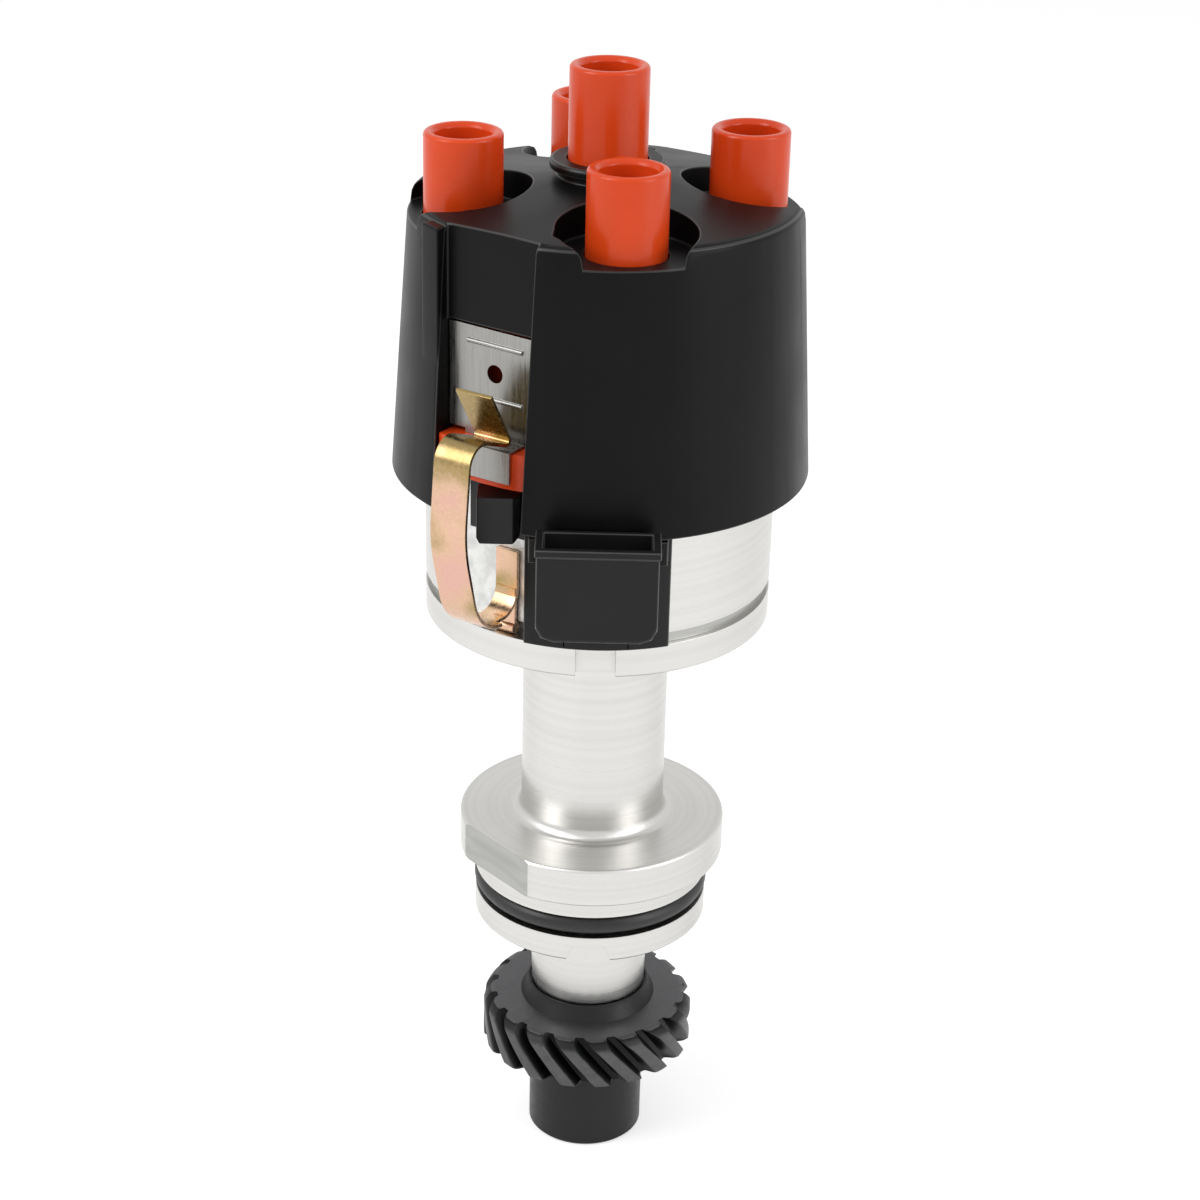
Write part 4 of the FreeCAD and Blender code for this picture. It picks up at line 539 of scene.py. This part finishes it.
class DISTRIBUTOR_OT_drive(bpy.types.Operator):
    """Make the gear, and finish the shaft and what turns with it"""

    bl_idname = "distributor.drive"
    bl_label = "Drive"

    # the gear in millimetres and degrees: as the solid, and its teeth's outline as the photo shows it
    teeth = 19
    gap_azimuth = -93.8
    root = 21.6
    tooth = 3.1
    top = -40.45
    width = 12.1
    twist = 24.0
    chamfer = 0.6
    facets = 28
    land = 0.38
    flank = 0.42
    face_inside = 15.9

    def execute(self, context):
        finish = context.scene.distributor_finish
        sizes = context.scene.distributor_sizes
        self.tip_droop = sizes.tooth_droop / MM
        ground = turned_metal("ground steel", "#B9B8B6", "#A9A8A6", 0.26, 0.15, 0.005)
        # the gear's black has painted shade between the teeth and a painted highlight at the tips
        black = blackened_steel("black oxide steel", to_hex(finish.gear), "#0B0B0C", "#606060")
        # painted highlight: a lighter black for the gear's upward faces, standing in for the light that
        # falls on them from above
        painted_toplit = blackened_steel("black oxide on a faced surface", "#565658", "#565658", "#666666")
        self.gear(black, painted_toplit)
        paint(["circlip"], black)
        paint(["drive_shaft", "shaft_collar", "gear_pin", "trigger_vane", "lower_thrust_washer",
               "upper_thrust_washer"], ground)
        bronze = turned_metal("sintered bronze", "#A87B4A", "#8F6840", 0.45, 0.4, 0.02, 0.2)
        paint(["lower_bush", "upper_bush"], bronze)
        spring = merged_copy("brush_spring")
        piece = finished("brush_spring_dressed", spring, [ground], "ground_steel", "body", "brush_spring")
        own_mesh(piece)
        return {"FINISHED"}

    def gear(self, black, painted_toplit):
        """A toothed ring on the CAD gear's own hub."""
        mesh = merged_copy("drive_gear")
        seam = (self.top - self.width - 0.3) * MM
        cut = bmesh.ops.bisect_plane(mesh, geom=[*mesh.verts, *mesh.edges, *mesh.faces],
                                     plane_co=(0.0, 0.0, seam), plane_no=(0.0, 0.0, 1.0),
                                     clear_outer=True)["geom_cut"]
        bmesh.ops.triangle_fill(mesh, edges=edges_of(cut), use_beauty=True)
        hub_faces = set(mesh.faces)
        self.toothed_ring(mesh)
        ring_faces = [face for face in mesh.faces if face not in hub_faces]
        bmesh.ops.recalc_face_normals(mesh, faces=ring_faces)
        # painted highlight on the toothed ring's upward faces
        for face in ring_faces:
            if face.normal.z > 0.9 and face.calc_center_median().xy.length > self.face_inside * MM:
                face.material_index = 1
        finished("drive_gear_cut", mesh, [black, painted_toplit], "blackened_steel", "drive", "drive_gear")

    def toothed_ring(self, mesh):
        """One outline of rounded teeth, drawn down along its helix and closed inwards above and below."""
        ring = bmesh.ops.create_circle(mesh, segments=self.teeth * self.facets,
                                       radius=self.root * MM)["verts"]
        for vert in ring:
            angle = math.atan2(vert.co.y, vert.co.x) - math.radians(self.gap_azimuth)
            from_tooth = abs(angle * self.teeth / math.tau % 1.0 - 0.5) * 2
            rise = min(max((self.land + self.flank - from_tooth) / self.flank, 0.0), 1.0)
            vert.co.xy *= 1 + self.tooth / self.root * (3 - 2 * rise) * rise ** 2
            vert.co.z = self.top * MM
            self.sink(vert, self.top - self.droop(vert))
        start = list({edge for vert in ring for edge in vert.link_edges})
        down = start
        floor = self.top - self.width + self.chamfer
        steps = 8
        for left in range(steps, 0, -1):
            down = drawn_loop(mesh, down)
            for vert in {vert for edge in down for vert in edge.verts}:
                height = vert.co.z / MM
                self.sink(vert, height + (floor - height) / left)
        up = start
        for share in (0.88, 0.86, 0.82, 0.75, 0.6, 0.0):
            up = self.lowered_teeth(mesh, up, share)
        down = self.lowered_teeth(mesh, down, 0.75, -self.chamfer)
        up = self.inwards(mesh, up, (
            (15.8, 0.0), (14.3, 2.9), (14.1, 0.8), (13.75, 0.05), (13.75, -0.8), (6.4, 0.0)))
        down = self.inwards(mesh, down, ((20.9, 0.0), (14.1, 0.0), (13.45, -0.6), (6.4, 0.0)))
        bmesh.ops.bridge_loops(mesh, edges=up + down)

    def droop(self, vert):
        """How far a tooth's end lies below the gear's face: the face is rounded off towards the tips."""
        height = max(vert.co.xy.length / MM - self.root, 0.0)
        return self.tip_droop * (height / self.tooth) ** 2.6

    def sink(self, vert, level):
        """Move a point to a level along the helix."""
        turn = math.radians(self.twist) * (vert.co.z / MM - level) / self.width
        vert.co = Matrix.Rotation(turn, 3, "Z") @ vert.co
        vert.co.z = level * MM

    def lowered_teeth(self, mesh, loop, share, rise=None):
        """Draw a loop on with lower teeth: over the rounded face, or by a rise of its own."""
        loop = drawn_loop(mesh, loop, rise_mm=rise or 0.0)
        for vert in {vert for edge in loop for vert in edge.verts}:
            height = vert.co.xy.length / MM - self.root
            vert.co.xy *= 1 - (1 - share) * height / (self.root + height)
            if rise is None:
                self.sink(vert, self.top - self.droop(vert))
        return loop

    def inwards(self, mesh, loop, places):
        """Draw a loop in to the bore: each place is a radius and a rise."""
        for reach, rise in places:
            loop = drawn_loop(mesh, loop, reach_mm=reach, rise_mm=rise)
        return loop


class DISTRIBUTOR_OT_sender(bpy.types.Operator):
    """Finish the sensor, its plate and the dust cover"""

    bl_idname = "distributor.sender"
    bl_label = "Sender"

    def execute(self, context):
        black = moulded_plastic("glass-filled nylon", "#1C1C1C", "#161616", 0.5, 0.5, 0.02)
        paint(["hall_sensor", "dust_cover"], black)
        steel = rolled_steel("zinc plated sheet", "#BDBBB4", "#ABA9A3")
        paint(["sensor_plate", "sensor_screws"], steel)
        return {"FINISHED"}


class DISTRIBUTOR_OT_cap(bpy.types.Operator):
    """Finish the cap, its terminals, the brush and the rotor arm"""

    bl_idname = "distributor.cap"
    bl_label = "Cap"

    def execute(self, context):
        finish = context.scene.distributor_finish
        self.chamfer = context.scene.distributor_sizes.tower_chamfer / MM
        # thermoset polyester, moulded under heat: strong orange, half gloss, with a soft skin
        orange = moulded_plastic("orange polyester moulding", to_hex(finish.cap), "#DA4415", 0.26, 0.5,
                                 0.005, Specular_IOR_Level=0.3)
        dressed("distributor_cap", [orange], "orange_moulding", "body", 0.25, self.cap_shape)
        phenolic = moulded_plastic("brown phenolic moulding", "#4A2217", "#3A1B15", 0.35, 0.6, 0.01)
        paint(["rotor_arm"], phenolic)
        brass = turned_metal("drawn brass", "#C9A961", "#B8985A", 0.3, 0.2, 0.005, 0.3)
        paint(["rotor_contact", "side_terminals", "centre_terminal", "connector_pins"], brass)
        paint(["carbon_brush"], moulded_plastic("sintered carbon", "#1D1D1F", "#141416", 0.6, 0.3, 0.02))
        return {"FINISHED"}

    def cap_shape(self, mesh):
        """Chamfer the towers' mouths, and fit the lugs between the channel walls."""
        for side, turn in SIDES:
            slide_sides(mesh, CHANNEL_AZIMUTH + turn, ((LUG_HALF, 10.3), (-LUG_HALF, -12.2)))
        axes = [outward(TOWER_AZIMUTH + turn) * TOWER_REACH for turn in (0.0, 90.0, 180.0, 270.0)] + [AXIS]
        for axis, top in zip(axes, TOWER_TOPS):
            mouth = {vert for vert in mesh.verts if abs(vert.co.z / MM - top) < NEAR
                     and abs((vert.co.xy / MM - axis.xy).length - TOWER_RADIUS) < 0.05}
            round_edges(mesh, self.chamfer, wanted=lambda edge: all(vert in mouth for vert in edge.verts))


class DISTRIBUTOR_OT_shield(bpy.types.Operator):
    """Finish the suppression shield with its pilasters, and its steel screen plates"""

    bl_idname = "distributor.shield"
    bl_label = "Shield"

    def execute(self, context):
        finish = context.scene.distributor_finish
        sizes = context.scene.distributor_sizes
        self.drop = sizes.shoulder_drop / MM
        # carbon-filled polyamide: near black and half matt, so that only its edges and dome catch the light
        shell = moulded_plastic("black carbon-filled moulding", to_hex(finish.shield), "#0B0B0C", 0.36, 0.4,
                                0.005, Specular_IOR_Level=0.12)
        # painted highlight: the shield's rounded edges take a lighter grey
        painted_highlight = moulded_plastic("rubbed edge of the black moulding", "#2C2C2B", "#222222", 0.36, 0.4, 0.004,
                                 Specular_IOR_Level=0.4)
        dressed("suppression_shield", [shell, painted_highlight], "black_moulding", "body", sizes.shield_rounding / MM,
                self.shield_shape)
        steel = rolled_steel("rolled steel sheet", to_hex(finish.steel), "#8A8986")
        for side, turn in SIDES:
            dressed(f"screen_plate_{side}", [steel], "sheet_steel", "body", 0.1, lambda mesh: slide_sides(
                mesh, PLATE_AZIMUTH + turn, ((PLATE_HALF, 10.6), (-PLATE_HALF, -11.7))))
            self.pilaster(side, turn, shell)
        return {"FINISHED"}

    def shield_shape(self, mesh):
        """Fit the channels' walls, and let the dome fall a little more towards its shoulder."""
        for side, turn in SIDES:
            slide_sides(mesh, CHANNEL_AZIMUTH + turn, ((CHANNEL_HALF, 10.5), (-CHANNEL_HALF, -12.3)),
                        CHANNEL_BACK)
        middle, slope = 13.0, 28.0
        for vert in mesh.verts:
            if vert.co.z / MM > SHOULDER_BASE:
                share = min(max((vert.co.xy.length / MM - middle) / slope, 0.0), 1.0)
                vert.co.z -= self.drop * share * MM

    def pilaster(self, side, turn, shell):
        """The upright strip beside a channel: its face stays upright where the shield tapers."""
        inner, outer, bottom, top = (size * MM for size in (40.2, 43.2, 96.0, 154.0))
        mesh = bmesh.new()
        corners = [mesh.verts.new((0.0, -reach, height)) for reach, height in (
            (inner, bottom), (outer, bottom), (outer, top), (inner, top))]
        face = mesh.faces.new(corners)
        azimuth = CHANNEL_AZIMUTH + turn
        bmesh.ops.rotate(mesh, verts=corners, cent=AXIS,
                         matrix=Matrix.Rotation(-math.radians(azimuth + 25.0), 3, "Z"))
        bmesh.ops.spin(mesh, geom=[*corners, *face.edges, face], cent=AXIS, axis=(0.0, 0.0, 1.0), dvec=AXIS,
                       angle=math.radians(12.0), steps=6, use_merge=False, use_duplicate=False)
        across = sideways(azimuth)
        cut = bmesh.ops.bisect_plane(mesh, geom=[*mesh.verts, *mesh.edges, *mesh.faces],
                                     plane_co=across * -12.35 * MM, plane_no=across,
                                     clear_outer=True)["geom_cut"]
        bmesh.ops.holes_fill(mesh, edges=edges_of(cut))
        bmesh.ops.recalc_face_normals(mesh, faces=mesh.faces)
        round_edges(mesh, 0.5, 3)
        finished(f"shield_pilaster_{side}", mesh, [shell], "black_moulding", "body")


class DISTRIBUTOR_OT_clips(bpy.types.Operator):
    """Finish the spring clips and their guides"""

    bl_idname = "distributor.clips"
    bl_label = "Clips"

    def execute(self, context):
        finish = context.scene.distributor_finish
        zinc = yellow_zinc("yellow zinc plate", to_hex(finish.zinc), "#D0A597", "#9C875A")
        guide = moulded_plastic("black nylon guide", "#191919", "#131313", 0.42, 0.5, 0.01,
                                Specular_IOR_Level=0.35)
        for side, turn in SIDES:
            dressed(f"clip_{side}", [zinc], "zinc_plated_steel", f"{side}_clip", 0.12)
            dressed(f"clip_guide_{side}", [guide], "black_moulding", "body", 0.3)
        return {"FINISHED"}


class DISTRIBUTOR_OT_connector(bpy.types.Operator):
    """Finish the connector's moulding"""

    bl_idname = "distributor.connector"
    bl_label = "Connector"

    # heights in millimetres: where the solid has an edge, and where the real one has it
    heights = ((70.2, 75.9), (74.0, 77.3), (74.13, 77.4), (75.08, 78.2), (77.6, 80.2), (75.0, 78.3),
               (75.35, 78.6), (95.9, 96.2), (98.3, 97.8))

    def execute(self, context):
        finish = context.scene.distributor_finish
        nylon = moulded_plastic("black nylon socket", to_hex(finish.socket), "#171717", 0.42, 0.5, 0.008,
                                Specular_IOR_Level=0.22)
        # painted highlight: the socket's rounded edges take a lighter grey
        painted_highlight = moulded_plastic("rubbed edge of the black nylon", "#4A4A49", "#3C3C3B", 0.4, 0.5, 0.006,
                                 Specular_IOR_Level=0.4)
        mesh = merged_copy("connector_socket")
        rim_reach, foot_half = 38.1, 9.5
        for found, real in self.heights:
            foot = found == GROOVE_TOP
            level = [vert for vert in mesh.verts
                     if abs(vert.co.z / MM - found) < NEAR and vert.co.y / MM < -rim_reach
                     and not (foot and abs(vert.co.x) / MM > foot_half)]
            bmesh.ops.translate(mesh, verts=level, vec=(0.0, 0.0, (real - found) * MM))
        round_edges(mesh, 1.1, 4, wanted=self.lower_corner)
        round_edges(mesh, context.scene.distributor_sizes.socket_rounding / MM, 4, wanted=self.front_edge)
        # these rounded edges take the painted highlight material
        round_edges(mesh, 0.25, slot=1)
        finished("connector_socket_dressed", mesh, [nylon, painted_highlight], "black_moulding", "body",
                 "connector_socket")
        return {"FINISHED"}

    def lower_corner(self, edge):
        """Whether an edge runs from front to back along the socket's lower corners."""
        first, second = (vert.co / MM for vert in edge.verts)
        return abs(first.y - second.y) > 1.0 and all(
            place.y < -46.5 and abs(place.x) > 10.0 and place.z < 79.0 for place in (first, second))

    def front_edge(self, edge):
        """Whether an edge lies round the socket's front face, below its lip."""
        return all(abs(vert.co.y / MM - SOCKET_FRONT) < NEAR and vert.co.z / MM < SOCKET_LIP
                   for vert in edge.verts)


# studio


def seen_rays(tree):
    """A value that is 1 for what is seen, straight or in a reflection, and 0 for light on the object."""
    ray = add_node(tree, "ShaderNodeLightPath")
    seen = add_node(tree, "ShaderNodeMath", {"operation": "MAXIMUM"},
                    links={0: ray.outputs["Is Camera Ray"], 1: ray.outputs["Is Glossy Ray"]})
    shown = add_node(tree, "ShaderNodeMath", {"operation": "MAXIMUM"},
                     links={0: seen.outputs["Value"], 1: ray.outputs["Is Transmission Ray"]})
    return shown.outputs["Value"]


def paper(name, level):
    """White paper: plain white to the camera and in reflections, darkened only by the object's shadow."""
    material, tree, shader, place = new_material(name, "#F0F0F0", 0.0, 0.95, Specular_IOR_Level=0.0)
    strength = add_node(tree, "ShaderNodeMath", {"operation": "MULTIPLY"}, {1: level}, {0: seen_rays(tree)})
    shader.inputs["Emission Color"].default_value = WHITE
    feed(tree, shader, {"Emission Strength": strength.outputs["Value"]})
    return material


def area_lamp(name, place, target, size, power):
    """A rectangular lamp at a place, turned towards its target."""
    data = bpy.data.lights.new(name, "AREA")
    data.shape = "RECTANGLE"
    data.size = size[0]
    data.size_y = size[1]
    data.energy = power
    lamp = bpy.data.objects.new(name, data)
    bpy.context.scene.collection.objects.link(lamp)
    lamp.location = place
    lamp.rotation_euler = (Vector(target) - Vector(place)).to_track_quat("-Z", "Y").to_euler()
    return lamp


class DISTRIBUTOR_OT_stage(bpy.types.Operator):
    """Set the floor, the light and the camera"""

    bl_idname = "distributor.stage"
    bl_label = "Stage"

    def execute(self, context):
        studio = context.scene.distributor_studio
        self.floor()
        self.surroundings()
        self.lamps(studio)
        self.camera(studio)
        return {"FINISHED"}

    def floor(self):
        """A wide sheet of paper under the part."""
        mesh = bmesh.new()
        bmesh.ops.create_grid(mesh, x_segments=1, y_segments=1, size=6.0)
        bmesh.ops.translate(mesh, verts=mesh.verts, vec=(0.0, 0.0, CAD_BOX[0][2]))
        data = bpy.data.meshes.new("floor")
        mesh.to_mesh(data)
        mesh.free()
        floor = bpy.data.objects.new("floor", data)
        bpy.context.scene.collection.objects.link(floor)
        data.materials.append(paper("white paper", 0.5))

    def surroundings(self):
        """A white room: full white to the camera and in reflections, and plain light on the object."""
        world = bpy.data.worlds.new("studio")
        bpy.context.scene.world = world
        world.use_nodes = True
        tree = world.node_tree
        strength = add_node(tree, "ShaderNodeMapRange", inputs={"To Min": 0.5, "To Max": 1.0},
                            links={"Value": seen_rays(tree)})
        background = tree.nodes["Background"]
        background.inputs["Color"].default_value = WHITE
        feed(tree, background, {"Strength": strength.outputs["Result"]})

    def lamps(self, studio):
        """A large lamp high on the left, and a weaker one on the right."""
        aim, size = (0.0, 0.0, 0.05), (0.5, 0.9)
        area_lamp("key", (-0.75, -0.35, 0.75), aim, size, studio.key_power)
        area_lamp("fill", (0.85, -0.45, 0.45), aim, size, studio.key_power * 0.7)

    def camera(self, studio):
        """The photo's camera: it looks at the point 7.4 of the picture's 1200 rows below the middle."""
        data = bpy.data.cameras.new("camera")
        data.lens = studio.lens
        data.sensor_width = 36.0
        data.shift_y = 7.4 / 1200
        camera = bpy.data.objects.new("camera", data)
        bpy.context.scene.collection.objects.link(camera)
        look = Matrix.Rotation(-studio.camera_yaw, 4, "Z") @ Matrix.Rotation(
            math.pi / 2 - studio.camera_pitch, 4, "X") @ Matrix.Rotation(studio.camera_roll, 4, "Z")
        camera.matrix_world = Matrix.Translation((0.0, -studio.camera_distance, studio.camera_height)) @ look
        bpy.context.scene.camera = camera


OPERATORS = (
    DISTRIBUTOR_OT_body,
    DISTRIBUTOR_OT_drive,
    DISTRIBUTOR_OT_sender,
    DISTRIBUTOR_OT_cap,
    DISTRIBUTOR_OT_shield,
    DISTRIBUTOR_OT_clips,
    DISTRIBUTOR_OT_connector,
    DISTRIBUTOR_OT_stage,
)


class DISTRIBUTOR_PT_sidebar(bpy.types.Panel):
    """Lists the distributor's pieces"""

    bl_idname = "DISTRIBUTOR_PT_sidebar"
    bl_label = "Ignition Distributor"
    bl_space_type = "VIEW_3D"
    bl_region_type = "UI"
    bl_category = "Distributor"

    def draw(self, context):
        scene = context.scene
        for group in (scene.distributor_finish, scene.distributor_sizes, scene.distributor_studio):
            column = self.layout.column()
            for name in group.__annotations__:
                column.prop(group, name)
        for operator in OPERATORS:
            self.layout.operator(operator.bl_idname)


CLASSES = (DistributorFinish, DistributorSizes, DistributorStudio, *OPERATORS, DISTRIBUTOR_PT_sidebar)


def register():
    for item in CLASSES:
        bpy.utils.register_class(item)
    bpy.types.Scene.distributor_finish = bpy.props.PointerProperty(type=DistributorFinish)
    bpy.types.Scene.distributor_sizes = bpy.props.PointerProperty(type=DistributorSizes)
    bpy.types.Scene.distributor_studio = bpy.props.PointerProperty(type=DistributorStudio)


def unregister():
    del bpy.types.Scene.distributor_finish
    del bpy.types.Scene.distributor_sizes
    del bpy.types.Scene.distributor_studio
    for item in reversed(CLASSES):
        bpy.utils.unregister_class(item)


def main():
    register()
    bpy.ops.distributor.body()
    bpy.ops.distributor.drive()
    bpy.ops.distributor.sender()
    bpy.ops.distributor.cap()
    bpy.ops.distributor.shield()
    bpy.ops.distributor.clips()
    bpy.ops.distributor.connector()
    bpy.ops.distributor.stage()
    bpy.context.scene.view_settings.view_transform = "Standard"


if __name__ == "__main__":
    main()
